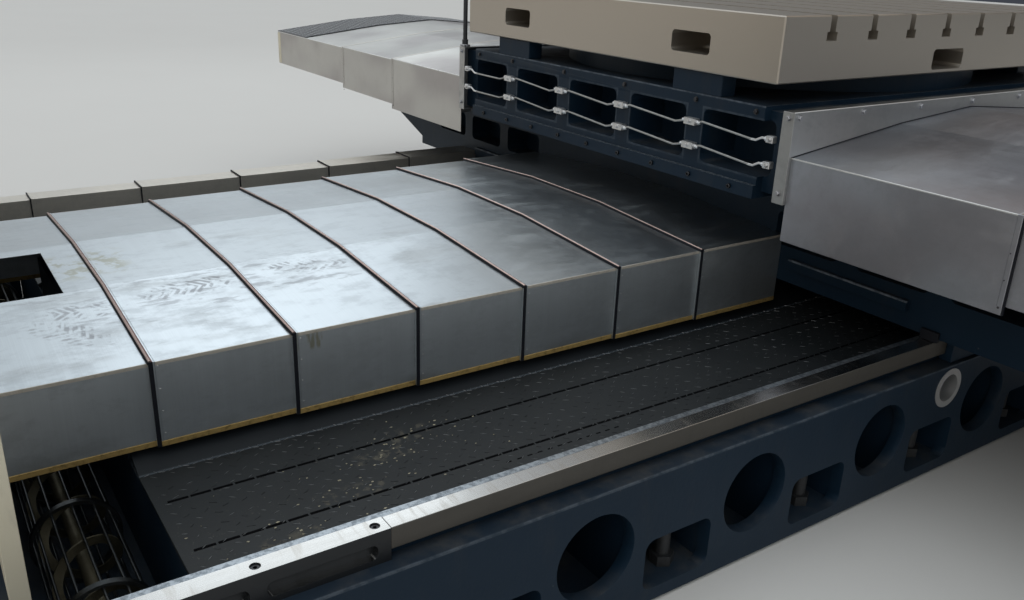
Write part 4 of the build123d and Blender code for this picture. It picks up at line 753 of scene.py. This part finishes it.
class MachineSettings(bpy.types.PropertyGroup):
    camera_place: FloatVectorProperty(
        name="Camera place",
        description="Where the camera stands in the frame",
        default=(2.80395, -1.75748, 1.56157),
        subtype="TRANSLATION",
        unit="LENGTH",
    )
    camera_turn: FloatVectorProperty(
        name="Camera turn",
        description="Pitch, roll and heading of the camera",
        default=(math.radians(68.9318), math.radians(2.0507), math.radians(55.4380)),
        subtype="EULER",
        unit="ROTATION",
    )
    lens: FloatProperty(name="Lens", description="Focal length of the camera", default=32.156, min=10.0, unit="CAMERA")
    edge_width: FloatProperty(
        name="Casting edge", description="Rounding of the castings' edges", default=0.0028, unit="LENGTH"
    )
    sheet_edge: FloatProperty(
        name="Sheet edge", description="Rounding of the sheet parts' folds", default=0.0014, unit="LENGTH"
    )
    mark_pitch: FloatProperty(
        name="Mark pitch", description="Distance between the chip plates' raised marks", default=0.044, unit="LENGTH"
    )
    rivet_pitch: FloatProperty(
        name="Rivet pitch", description="Distance between the covers' rivets", default=0.060, unit="LENGTH"
    )
    tread_pitch: FloatProperty(
        name="Tread pitch", description="Distance between the tread plates' bars", default=0.030, unit="LENGTH"
    )
    flakes: IntProperty(name="Flakes", description="Number of loose flakes on the near plate", default=110, min=0)


def colour_setting(name, description, default):
    return FloatVectorProperty(name=name, description=description, default=default, subtype="COLOR", min=0.0, max=1.0)


class MachineColours(bpy.types.PropertyGroup):
    casting: colour_setting("Castings", "Paint of the bed, saddle, carriage and column", (0.0078, 0.0208, 0.0385))
    long_cover: colour_setting("Long cover", "Tint of the long cover's sheets", (0.60, 0.645, 0.675))
    side_cover: colour_setting("Side cover", "Tint of the side cover's sheets and of plain lips", (0.70, 0.65, 0.575))
    guards: colour_setting("Guards", "Paint of the guard wings and the corner strips", (0.62, 0.57, 0.44))
    floor: colour_setting("Floor", "Paint of the studio floor", (0.66, 0.64, 0.61))


def settings():
    return bpy.context.scene.machine


def colours():
    return bpy.context.scene.machine_colours


def add_object(name, data):
    made = bpy.data.objects.new(name, data)
    bpy.context.scene.collection.objects.link(made)
    return made


def add_lamp(name, place, aim, size, power, colour=(1.0, 1.0, 1.0)):
    data = bpy.data.lights.new(name, "AREA")
    data.shape = "RECTANGLE"
    data.size, data.size_y = size
    data.energy = power
    data.color = colour
    lamp = add_object(name, data)
    lamp.location = place
    lamp.rotation_euler = (Vector(aim) - Vector(place)).to_track_quat("-Z", "Y").to_euler()


class MACHINE_OT_stage(bpy.types.Operator):
    """Make the floor, the light and the camera"""

    bl_idname = "machine.stage"
    bl_label = "Stage"

    # Sine of the height at which each band of the studio's light starts and ends, and its colour
    sky_steps = (
        (0.10, 0.22, (0.42, 0.445, 0.46)),
        (0.24, 0.36, (0.54, 0.585, 0.62)),
        (0.36, 0.50, (0.78, 0.84, 0.88)),
        (0.54, 0.72, (1.02, 1.09, 1.14)),
    )

    def execute(self, context):
        scene = context.scene
        scene.view_settings.view_transform = "Standard"
        self.floor()
        self.world(scene)
        place = settings().camera_place
        pitch, roll, heading = settings().camera_turn
        data = bpy.data.cameras.new("camera")
        data.lens = settings().lens
        data.sensor_width = 36.0
        data.clip_end = 200.0
        camera = add_object("camera", data)
        turn = Matrix.Rotation(heading, 4, "Z") @ Matrix.Rotation(pitch, 4, "X") @ Matrix.Rotation(roll, 4, "Z")
        camera.matrix_world = Matrix.Translation(place) @ turn
        scene.camera = camera
        add_lamp("window_light", (-9.0, 2.4, 6.3), (0.0, 0.0, 0.6), (4.8, 3.6), 61.0, (0.88, 0.95, 1.0))
        add_lamp("room_light", (5.0, -6.0, 6.0), (0.0, 0.0, 0.5), (6.0, 4.0), 45.0, (1.0, 0.97, 0.92))
        return {"FINISHED"}

    def floor(self):
        """Large slab under the machine, pale and slightly clouded."""
        pile = Pile()
        reach = 40.0
        pile.block((-reach, -reach, -0.1), (reach, reach, -0.0005))
        mesh = bpy.data.meshes.new("floor")
        mesh.from_pydata(pile.points, [], pile.faces)
        colour = colours().floor

        def paint(graph):
            clouds = graph.noise(0.7, 4.0, 0.6)
            return {
                "Base Color": graph.mix(0.35 * clouds, colour, darker(colour, 0.86)),
                "Roughness": 0.6,
            }

        mesh.materials.append(make_material("floor_surface", paint))
        add_object("floor", mesh)

    def world(self, scene):
        """Soft light: pale windows overhead, a dim wall behind the machine and a warm one before it."""
        world = bpy.data.worlds.new("studio")
        world.use_nodes = True
        world.node_tree.nodes.clear()
        graph = Graph(world.node_tree)
        direction = graph.node("ShaderNodeTexCoord", output="Generated")
        split = graph.node("ShaderNodeSeparateXYZ", values={0: direction})
        height = split.out("Z")
        sky = (0.37, 0.37, 0.36)
        for low, high, colour in self.sky_steps:
            sky = graph.mix(height.ramp(low, high), sky, colour)
        behind = split.out("Y").ramp(0.36, 0.66) * height.ramp(0.95, 0.82)
        wall = graph.mix(height.ramp(0.50, 0.62), (0.040, 0.045, 0.060), (0.48, 0.385, 0.30))
        sky = graph.mix(0.97 * behind, sky, wall)
        front = split.out("Y").ramp(-0.30, -0.70) * height.ramp(0.45, 0.20)
        sky = graph.mix(0.90 * front, sky, (0.78, 0.69, 0.58))
        background = graph.node("ShaderNodeBackground", values={"Color": sky, "Strength": 1.0})
        output = world.node_tree.nodes.new("ShaderNodeOutputWorld")
        world.node_tree.links.new(background.socket, output.inputs[0])
        scene.world = world


ROUND_NODES = ("cage", "coil", "jacks", "pipes", "screw", "bush", "sleeve", "boring", "bearing", "blocks")
SHEET_NODES = ("cover", "tread", "guard", "adapter", "trough")


class MACHINE_OT_surfaces(bpy.types.Operator):
    """Give every node of the model its finish, and round its edges"""

    bl_idname = "machine.surfaces"
    bl_label = "Surfaces"

    def execute(self, context):
        for name, node in frame["nodes"].items():
            node.data.materials.clear()
            node.data.materials.append(node_material(name))
            if not any(word in name for word in ROUND_NODES):
                sheet = any(word in name for word in SHEET_NODES)
                width = settings().sheet_edge if sheet else settings().edge_width
                self.round_edges(node, width, "cover" in name)
        return {"FINISHED"}

    def round_edges(self, node, width, split):
        """Weld and join the flat faces, split those of the covers and round what stays sharp."""
        node.modifiers.new("weld", "WELD").merge_threshold = 0.00002
        flat = node.modifiers.new("flat", "DECIMATE")
        flat.decimate_type = "DISSOLVE"
        flat.angle_limit = math.radians(0.5)
        if split:
            node.modifiers.new("split", "TRIANGULATE")
        edge = node.modifiers.new("edge", "BEVEL")
        edge.width = width
        edge.segments = 2
        edge.limit_method = "ANGLE"
        edge.angle_limit = math.radians(35)
        edge.harden_normals = True


# Thickness of the brass strip outside a long cover's wall, and of the one inside
BRASS_SPANS = ((-0.001, 0.0022), (-0.0065, -0.0035))


class MACHINE_OT_long_cover(bpy.types.Operator):
    """Dress the long cover: copper lips, seals, side strips, hems, brass strips and rivets"""

    bl_idname = "machine.long_cover"
    bl_label = "Long cover"

    def execute(self, context):
        for covers, toward in ((FRONT_COVERS, 1), (REAR_COVERS, -1)):
            for node in covers:
                self.dress(node, toward, lipped=node != covers[0])
        return {"FINISHED"}

    def dress(self, node, toward, lipped):
        low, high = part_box(node)
        body = BODY_OF_NODE[node]
        proud = LIP_PROUD if lipped else 0.0
        half, top = high.x - proud, high.z - proud
        edge = top - LONG_ROOF_DROP
        start, end = (low.y, high.y) if toward > 0 else (high.y, low.y)
        if lipped:
            self.lip(node, half, top, low.z, start, toward)
        # The hem strips are tinted light: a painted highlight on the bend under each roof edge
        hem, brass = Pile(), Pile()
        for side in SIDES:
            hem.block(
                (side * (half - 0.001), start + toward * (LIP_LENGTH + 0.001), edge - 0.0095),
                (side * (half + 0.001), end, edge - 0.0002),
                0.0005,
            )
            for inner, outer in BRASS_SPANS[: 1 if lipped else 2]:
                brass.block(
                    (side * (half + inner), start + toward * 0.004, low.z - 0.0005),
                    (side * (half + outer), end - toward * 0.002, low.z + 0.0145),
                )
        hem.piece(f"{node}_hem", "hem_painted_highlight", body)
        brass.piece(f"{node}_brass", "brass_strip", body)

    def lip(self, node, half, top, bottom, start, toward):
        """Copper-coloured bead, its dark foot, the wiper, black strips of painted shadow down the sides and the rivets
        at a section's open end.
        """
        body = BODY_OF_NODE[node]
        line = wrap(long_line(half, top, bottom), LIP_PROUD)
        bead, foot, seal, rivets = Pile(), Pile(), Pile(), Pile()
        for pile, profile in ((bead, BEAD), (foot, BEAD_SHADE), (seal, WIPER)):
            band(pile, line[1:-1], "x", start, toward, profile)
        # Down each side a black strip stands for the shadow in the gap: painted shadow
        for leg in (line[:2], line[-2:]):
            band(seal, leg, "x", start, toward, SIDE_SHADOW_STRIP)
        for side in SIDES:
            for z in paced(bottom + 0.034, top - LONG_ROOF_DROP - 0.012, settings().rivet_pitch):
                rivets.rivet((side * half, start + toward * 0.021, z), (side, 0, 0), *RIVET)
        bead.piece(f"{node}_lip", "copper_lip", body)
        foot.piece(f"{node}_lip_foot", "lip_shade", body)
        seal.piece(f"{node}_seal", "rubber", body)
        rivets.piece(f"{node}_rivets", "bright_steel", body)


class MACHINE_OT_side_cover(bpy.types.Operator):
    """Dress the small cover over the far way: lips, black seals and rivets"""

    bl_idname = "machine.side_cover"
    bl_label = "Side cover"

    def execute(self, context):
        for node in SIDE_COVERS[1:]:
            low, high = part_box(node)
            body = BODY_OF_NODE[node]
            half = high.x - SIDE_CENTRE
            outline = [(-half, low.z), (-half, high.z), (half, high.z), (half, low.z)]
            line = [(SIDE_CENTRE + x, z) for x, z in outline]
            lip, seal = Pile(), Pile()
            band(lip, line, "x", low.y + 0.001, 1, SIDE_LIP)
            band(seal, line, "x", low.y - 0.0036, 1, SIDE_SEAL)
            for side in SIDES:
                for z in (low.z + 0.02, high.z - 0.02):
                    lip.rivet((SIDE_CENTRE + side * half, low.y + 0.02, z), (side, 0, 0), *RIVET)
            lip.piece(f"{node}_lip", "side_sheet", body)
            seal.piece(f"{node}_seal", "rubber", body)
        return {"FINISHED"}


class MACHINE_OT_cross_covers(bpy.types.Operator):
    """Dress the covers along x: hems, joint seals, screws, corner strips and tread bars"""

    bl_idname = "machine.cross_covers"
    bl_label = "Cross covers"

    def execute(self, context):
        for side, place in zip(SIDES, ("far", "near")):
            for step, part in enumerate(("inner", "middle", "end")):
                self.section(f"x_cover_{part}_{place}", side, step)
            self.adapter(side, place)
            self.tread(side, place)
        return {"FINISHED"}

    def section(self, node, side, step):
        low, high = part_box(node)
        body = BODY_OF_NODE[node]
        line = cross_line(step, low.z)
        start, end = (low.x, high.x) if side > 0 else (high.x, low.x)
        first = start if step == 0 else start + side * 0.36
        hem, screws, strip = Pile(), Pile(), Pile()
        for toward, (y, z) in ((-1, line[1]), (1, line[-2])):
            # The hems are near-white strips along each roof edge: a painted highlight on the bend
            hem.block((first, y - toward * 0.0035, z - 0.0040), (end, y + toward * 0.0009, z + 0.0011), 0.0011)
            if step == 2:
                outside = (end - side * 0.0005, y - toward * 0.001, low.z + 0.004)
                strip.block(outside, (end - side * 0.046, y + toward * 0.0012, z - 0.006), 0.0008)
            else:
                for drop in (0.100, 0.172, 0.246):
                    screws.rivet((end - side * 0.010, y, z - drop), (0, toward, 0), 0.0034, 0.0020)
        hem.piece(f"{node}_hem", "white_hem_painted_highlight", body)
        if step == 2:
            strip.piece(f"{node}_corner", "cream_paint", body)
            return
        seal, lip = Pile(), Pile()
        band(seal, line, "y", end, side, JOINT_SEAL)
        band(lip, line[1:-1], "y", end - side * 0.0095, side, PLAIN_LIP)
        seal.piece(f"{node}_seal", "rubber", body)
        lip.piece(f"{node}_lip", "side_sheet", body)
        screws.piece(f"{node}_screws", "dark_bolt", body)

    def adapter(self, side, place):
        """Screws of the wall between carriage and cover, and the dark seal on the roof below it."""
        seal, screws, hem = Pile(), Pile(), Pile()
        inner, outer = (side * x for x in ADAPTER_X)
        band(seal, cross_line(0, 0.80)[1:-1], "y", outer, side, ADAPTER_SEAL)
        for i in range(7):
            screws.hex_bolt((outer, ADAPTER_FACE + 0.022 + i * 0.309, 1.108), (side, 0, 0), 0.0085)
        for y, toward in both_faces(ADAPTER_FACE):
            for z in (0.872, 1.106):
                screws.hex_bolt(((inner + outer) / 2, y, z), (0, toward, 0), 0.0078)
        far = 2 * CROSS_CENTRE - ADAPTER_FACE
        # The near-white strip along the wall's top edge is a painted highlight
        hem.block((outer - side * 0.0035, ADAPTER_FACE, 1.1232), (outer + side * 0.0008, far, 1.1262), 0.0008)
        seal.piece(f"adapter_seal_{place}", "rubber", "carriage")
        screws.piece(f"adapter_screws_{place}", "screw_steel", "carriage")
        hem.piece(f"adapter_hem_{place}", "white_hem_painted_highlight", "carriage")

    def tread(self, side, place):
        """Raised bars in both slants, and the black rim of the plate."""
        line = cross_line(2, 0.80)
        bars, rim = Pile(), Pile()
        outer = CAD_BOX[1][0] - 0.002
        pitch = settings().tread_pitch
        first, last = line[1][0] + 0.028, line[-2][0] - 0.028
        for i in range(int((last - first) / pitch) + 1):
            y = first + i * pitch
            z = roof_height(line, y) + TREAD_THICK
            for back in paced(0.026, TREAD_WIDTH - 0.02, pitch):
                x = outer - back
                slant = 0.7 if (i + round(x / pitch)) % 2 else -0.7
                raised_mark(bars, (side * x, y, z), slant, 0.0120, 0.0034, 0.0016)
        for back in (0.014, TREAD_WIDTH):
            band(rim, wrap(line[1:-1], TREAD_THICK), "y", side * (outer - back), side, TREAD_EDGE)
        bars.piece(f"tread_bars_{place}", "tread_mark", "saddle")
        rim.piece(f"tread_rim_{place}", "rubber", "saddle", "tread")


def raised_mark(pile, spot, turn, length, width, height):
    """Raised bar with pointed ends, lying along y and turned by an angle."""
    x, y, z = spot
    c, s = math.cos(turn), math.sin(turn)

    def loop(long, wide, level):
        corners = ((0, -long), (wide, 0), (0, long), (-wide, 0))
        return [(x + u * c - v * s, y + u * s + v * c, level) for u, v in corners]

    pile.rings([loop(length, width, z - 0.0012), loop(length * 0.6, width * 0.4, z + height)])


class MACHINE_OT_chip_plates(bpy.types.Operator):
    """Raise the tear marks, lay dark slabs of painted shade for the slots and scatter the flakes of the chip plates"""

    bl_idname = "machine.chip_plates"
    bl_label = "Chip plates"
    fold = 0.763
    deck = 0.351
    rise = 0.385 - 0.351
    slot_rows = (0.904, 1.113)

    def execute(self, context):
        low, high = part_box("trough_plates")
        draw = random.Random(5)
        self.tears(low, high, draw)
        self.folds(low, high, draw)
        self.slots(low, high)
        self.loose(low, high, draw)
        return {"FINISHED"}

    def tears(self, low, high, draw):
        """Rows of small raised tears over both plates, some bright and some dull."""
        pitch = settings().mark_pitch
        bright, dull = Pile(), Pile()
        for side in SIDES:
            for row, y in enumerate(paced(low.y + 0.03, high.y - 0.03, pitch / 2)):
                lean = 0.55 if row % 2 else -0.55
                for x in paced(self.fold + 0.018 + (row % 2) * pitch / 2, high.x - 0.008, pitch):
                    turn = lean + draw.uniform(-0.25, 0.25)
                    length = 0.0118 * draw.uniform(0.7, 1.2)
                    pile = bright if draw.random() < 0.55 else dull
                    if draw.random() < 0.82:
                        raised_mark(pile, (side * x, y, self.deck), turn, length, 0.0014, 0.0009)
        bright.piece("chip_plate_marks", "worn_mark", "bed")
        dull.piece("chip_plate_tears", "dark_bolt", "bed", "trough_plate")

    def folds(self, low, high, draw):
        """Zigzag of rubbed marks along the fold, and sparse ones on the rise."""
        marks = Pile()
        for side in SIDES:
            for i, y in enumerate(paced(low.y + 0.02, high.y - 0.05, 0.029)):
                turn = -1 if i % 2 else 1
                spots = [
                    (-0.001, y, 0.0, 0.42, 0.0165, 0.0012),
                    (0.006, y + 0.014, 0.0016, -0.8, 0.011, 0.001),
                ]
                if draw.random() < 0.5:
                    back = draw.uniform(0.02, 0.09)
                    spots.append((back, y + draw.uniform(-0.01, 0.01), back / 0.111 * self.rise, 0.7, 0.010, 0.0010))
                for back, along, lift, lean, length, width in spots:
                    spot = (side * (self.fold - back), along, self.deck + lift)
                    raised_mark(marks, spot, turn * lean, length, width, 0.0008)
        marks.piece("chip_plate_folds", "screw_steel", "bed", "trough_plate")

    def slots(self, low, high):
        """Dark slabs of painted shade where the slots are: two rows of long ones, and the group of short ones beside
        the near way.
        """
        dark = Pile()
        for side in SIDES:
            for x in self.slot_rows:
                for y in paced(low.y + 0.03, high.y - 0.042, 0.052):
                    self.slot(dark, side * x, y, 0.0046, 0.047)
            for row in range(3):
                x, first = side * (1.155 + 0.034 * row), 0.016 * (row % 2) - 0.62
                for i in range(12):
                    self.slot(dark, x, first + 0.032 * i, 0.0024, 0.015)
        dark.piece("chip_plate_slots", "slot_shade", "bed")

    def slot(self, pile, x, y, half, length):
        pile.block((x - half, y, self.deck - 0.001), (x + half, y + length, self.deck + 0.00035), 0.0002)

    def loose(self, low, high, draw):
        """Loose flakes lying on the near plate."""
        flakes = Pile()
        for i in range(settings().flakes):
            (near_x, near_y), (half_x, half_y) = DUST_PATCHES[i % len(DUST_PATCHES)]
            spread = 1.0 if i % 3 else 3.2
            x = draw.gauss(near_x, 0.02 + half_x * spread)
            y = draw.gauss(near_y, 0.03 + half_y * spread)
            size = draw.uniform(0.0008, 0.0034)
            turn = draw.uniform(0, math.pi)
            corners = [(0, 1), (1.3, draw.uniform(0.5, 1)), (2.8, draw.uniform(0.6, 1)), (4.4, 0.7)]
            if self.fold + 0.02 < x < high.x - 0.01 and low.y + 0.02 < y < 0.78:
                ring = [(size * r * math.cos(turn + a), size * 1.6 * r * math.sin(turn + a)) for a, r in corners]
                levels = (self.deck - 0.0002, self.deck + 0.0009)
                flakes.rings([[(x + u, y + v, z) for u, v in ring] for z in levels])
        flakes.piece("chip_flakes", "flake", "bed")


class MACHINE_OT_carriage(bpy.types.Operator):
    """Fit the carriage's lubrication nuts, pipe elbows, bolts and tie post"""

    bl_idname = "machine.carriage"
    bl_label = "Carriage"

    def execute(self, context):
        nuts, bolts, clips = Pile(), Pile(), Pile()
        for z in PIPES:
            for x in RIBS:
                for side in SIDES:
                    nuts.lathe(PIPE_NUT, (x + side * 0.025, ADAPTER_FACE, z), (side, 0, 0), 6)
                nuts.lathe(BLOCK_PLUG, (x, 0.494, z + 0.001), (0, -1, 0), 6)
            for side in SIDES:
                levels = ((0.826, -0.012), (0.848, -0.012), (0.872, 0.0), (0.896, 0.0))
                clips.tube([(side * x, ADAPTER_FACE, z + dip) for x, dip in levels], 0.0041)
                back = CARRIAGE_FACE + 0.001
                clips.block((side * 0.893, 0.496, z - 0.011), (side * 0.921, back, z + 0.011), 0.0015)
                clips.lathe(END_PLUG, (side * 0.907, 0.4965, z), (0, -1, 0), 6)
                clips.lathe(END_NUT, (side * 0.894, ADAPTER_FACE, z), (-side, 0, 0), 6)
        for y, toward in both_faces(CARRIAGE_FACE):
            for x in (*RIBS, -0.825, 0.825):
                bolts.hex_bolt((x, y, 1.103), (0, toward, 0), 0.0072)
            for i in range(9):
                bolts.cap_screw((-0.76 + 0.19 * i, y + toward * 0.012, 0.851), (0, toward, 0), 0.0080)
        nuts.piece("lube_nuts", "bright_steel", "carriage")
        clips.piece("lube_elbows", "bright_steel", "carriage")
        bolts.piece("carriage_bolts", "dark_bolt", "carriage")
        self.post()
        return {"FINISHED"}

    def post(self):
        """Slim post on the carriage's far corner, with its foot and clamp bolts."""
        post, foot = Pile(), Pile()
        x, y, top = -0.966, 0.523, 1.125
        foot.block((x - 0.018, y - 0.017, top - 0.001), (x + 0.020, y + 0.017, top + 0.010), 0.002)
        post.lathe(POST, (x, y, top), (0, 0, 1), 20)
        foot.hex_bolt((x + 0.0195, y, top + 0.005), (1, 0, 0), 0.0045)
        foot.hex_bolt((x, y - 0.0165, top + 0.005), (0, -1, 0), 0.0045)
        post.piece("corner_post", "motor_paint", "carriage")
        foot.piece("corner_post_foot", "screw_steel", "carriage")


class MACHINE_OT_bed(bpy.types.Operator):
    """Fit the dark plates of painted shade low in the bed's cells, the guard screws and the saddle's way wipers"""

    bl_idname = "machine.bed"
    bl_label = "Bed and saddle"

    def execute(self, context):
        shade_plates, wipers, guards = Pile(), Pile(), Pile()
        bed_low, bed_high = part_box("table_bed")
        low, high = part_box("saddle")
        for side in SIDES:
            # Dark plates low in the bed's cells: painted shade, so the floor is not seen through the bed
            shade_plates.block((side * 1.085, bed_low.y + 0.05, 0.0125), (side * 1.398, bed_high.y - 0.05, 0.0165))
            for y, toward in ((low.y + 0.018, 1), (high.y - 0.018, -1)):
                wipers.block((side * 1.350, y, 0.4675), (side * 1.410, y - toward * 0.012, 0.500))
            for z in (0.42, 0.70, 0.98, 1.22):
                guards.cap_screw((side * 0.816, -1.6955, z), (0, 1, 0), 0.006)
        shade_plates.piece("bed_cell_shade_plates", "casting_paint", "bed")
        wipers.piece("way_wipers", "rubber", "saddle")
        guards.piece("guard_screws", "screw_steel", "bed")
        return {"FINISHED"}


# (y, z) spans of the plates round the motor that close the chip channel's far end
CHANNEL_END_PLATES = (
    ((-1.692, -1.654), (0.071, 0.335)),
    ((-1.466, -1.416), (0.071, 0.335)),
    ((-1.656, -1.464), (0.288, 0.335)),
    ((-1.656, -1.464), (0.071, 0.101)),
)


class MACHINE_OT_conveyor(bpy.types.Operator):
    """Finish the chip conveyor's drive: fins, fan cowl and terminal box"""

    bl_idname = "machine.conveyor"
    bl_label = "Conveyor drive"

    def execute(self, context):
        centre = (0.0, -1.560, 0.195)
        fins, box, screws = Pile(), Pile(), Pile()
        fins.fins(centre, (-1, 0, 0), 0.082, 1.545, 1.78, 0.013, 0.009)
        fins.lathe(CONVEYOR_COWL, centre, (-1, 0, 0), 40)
        box.plate((-1.70, -1.605, 0.272), (-1.60, -1.515, 0.318), (0, 0, 1), (0.1, 0.9), 0.0035, screws)
        for y in (-1.645, -1.475):
            for z in (0.03, 0.16, 0.27):
                screws.cap_screw((-1.5175, y, z), (-1, 0, 0), 0.0055)
        plates = Pile()
        for y, z in CHANNEL_END_PLATES:
            plates.block((-1.438, y[0], z[0]), (-1.434, y[1], z[1]), 0.0008)
        plates.piece("channel_end_plates", "casting_paint", "bed")
        fins.piece("conveyor_motor_fins", "motor_paint", "bed")
        box.piece("conveyor_motor_box", "motor_paint", "bed")
        screws.piece("conveyor_motor_screws", "screw_steel", "bed")
        return {"FINISHED"}


class MACHINE_OT_column(bpy.types.Operator):
    """Finish the column and headstock: foot bolts, cover plates, nose ring, wipers and motors"""

    bl_idname = "machine.column"
    bl_label = "Column and headstock"

    def execute(self, context):
        self.column()
        self.headstock()
        self.motors()
        return {"FINISHED"}

    def column(self):
        bolts, plates = Pile(), Pile()
        for side in SIDES:
            # Foot bolts beside the column and in front of it, and the two cover plates
            for i in range(7):
                bolts.hex_bolt((side * 0.745, -3.15 + 0.165 * i, 0.4895), (0, 0, 1), 0.016)
            for i in range(4):
                bolts.hex_bolt((side * (0.10 + 0.17 * i), -2.070, 0.4895), (0, 0, 1), 0.016)
            for z in (0.60, 2.95):
                corners = (side * 0.6985, -2.66, z), (side * 0.704, -2.36, z + 0.18)
                plates.plate(*corners, (side, 0, 0), (0.06, 0.94), 0.007, bolts)
        for x in (-0.19, 0.19):
            for y in (-2.36, -2.235, -2.15):
                bolts.cap_screw((x, y, 3.2595), (0, 0, 1), 0.009)
        bolts.piece("column_bolts", "dark_bolt", "bed")
        plates.piece("column_plates", "casting_paint", "bed")

    def headstock(self):
        low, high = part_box("headstock")
        bolts, plates, wipers = Pile(), Pile(), Pile()
        for i in range(12):
            angle = math.radians(15 + 30 * i)
            x, z = NOSE_CIRCLE * math.cos(angle), SPINDLE_HEIGHT + NOSE_CIRCLE * math.sin(angle)
            bolts.cap_screw((x, NOSE_FACE, z), (0, 1, 0), 0.010)
        for side in SIDES:
            corners = (side * 0.3285, -1.97, 1.86), (side * 0.334, -1.64, 2.42)
            plates.plate(*corners, (side, 0, 0), (0.05, 0.5, 0.95), 0.007, bolts)
            for z in (low.z - 0.012, high.z):
                wipers.block((side * 0.372, -2.0685, z), (side * 0.488, -2.030, z + 0.012))
        bolts.piece("headstock_bolts", "dark_bolt", "headstock")
        plates.piece("headstock_plates", "casting_paint", "headstock")
        wipers.piece("headstock_wipers", "rubber", "headstock")

    def motors(self):
        main, lift, screws, lift_screws = Pile(), Pile(), Pile(), Pile()
        centre = (0.0, -1.787, 0.0)
        main.fins(centre, (0, 0, 1), 0.150, 2.635, 2.86, 0.016, 0.012)
        main.lathe(SPINDLE_COWL, centre, (0, 0, 1), 48)
        main.plate((0.140, -1.857, 2.66), (0.232, -1.717, 2.82), (1, 0, 0), (0.08, 0.92), 0.005, screws)
        for x in (-0.165, 0.165):
            for y in (-1.93, -1.644):
                screws.hex_bolt((x, y, 2.6095), (0, 0, 1), 0.010)
        foot = (0.0, -2.235, 0.0)
        lift.fins(foot, (0, 0, 1), 0.098, 3.375, 3.60, 0.014, 0.006)
        lift.block((-0.065, -2.375, 3.52), (0.065, -2.325, 3.61), 0.004)
        for x in (-0.11, 0.11):
            for y in (-2.325, -2.145):
                lift_screws.cap_screw((x, y, 3.3495), (0, 0, 1), 0.007)
        main.piece("spindle_motor_fins", "motor_paint", "headstock")
        screws.piece("spindle_motor_screws", "screw_steel", "headstock")
        lift.piece("z_motor_fins", "motor_paint", "bed")
        lift_screws.piece("z_motor_screws", "screw_steel", "bed")


class MACHINE_PT_panel(bpy.types.Panel):
    """Sidebar panel with the machine's sizes and steps"""

    bl_idname = "MACHINE_PT_panel"
    bl_label = "Machine"
    bl_space_type = "VIEW_3D"
    bl_region_type = "UI"
    bl_category = "Machine"

    def draw(self, context):
        for group in (settings(), colours()):
            for name in type(group).__annotations__:
                self.layout.prop(group, name)
        for step in STEPS:
            self.layout.operator(step.bl_idname)


STEPS = (
    MACHINE_OT_stage,
    MACHINE_OT_surfaces,
    MACHINE_OT_long_cover,
    MACHINE_OT_side_cover,
    MACHINE_OT_cross_covers,
    MACHINE_OT_chip_plates,
    MACHINE_OT_carriage,
    MACHINE_OT_bed,
    MACHINE_OT_conveyor,
    MACHINE_OT_column,
)
CLASSES = (MachineSettings, MachineColours, *STEPS, MACHINE_PT_panel)


def register():
    for item in CLASSES:
        bpy.utils.register_class(item)
    bpy.types.Scene.machine = PointerProperty(type=MachineSettings)
    bpy.types.Scene.machine_colours = PointerProperty(type=MachineColours)


def unregister():
    del bpy.types.Scene.machine, bpy.types.Scene.machine_colours
    for item in reversed(CLASSES):
        bpy.utils.unregister_class(item)


def main():
    register()
    for step in STEPS:
        group, name = step.bl_idname.split(".")
        getattr(getattr(bpy.ops, group), name)()
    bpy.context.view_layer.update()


if __name__ == "__main__":
    main()
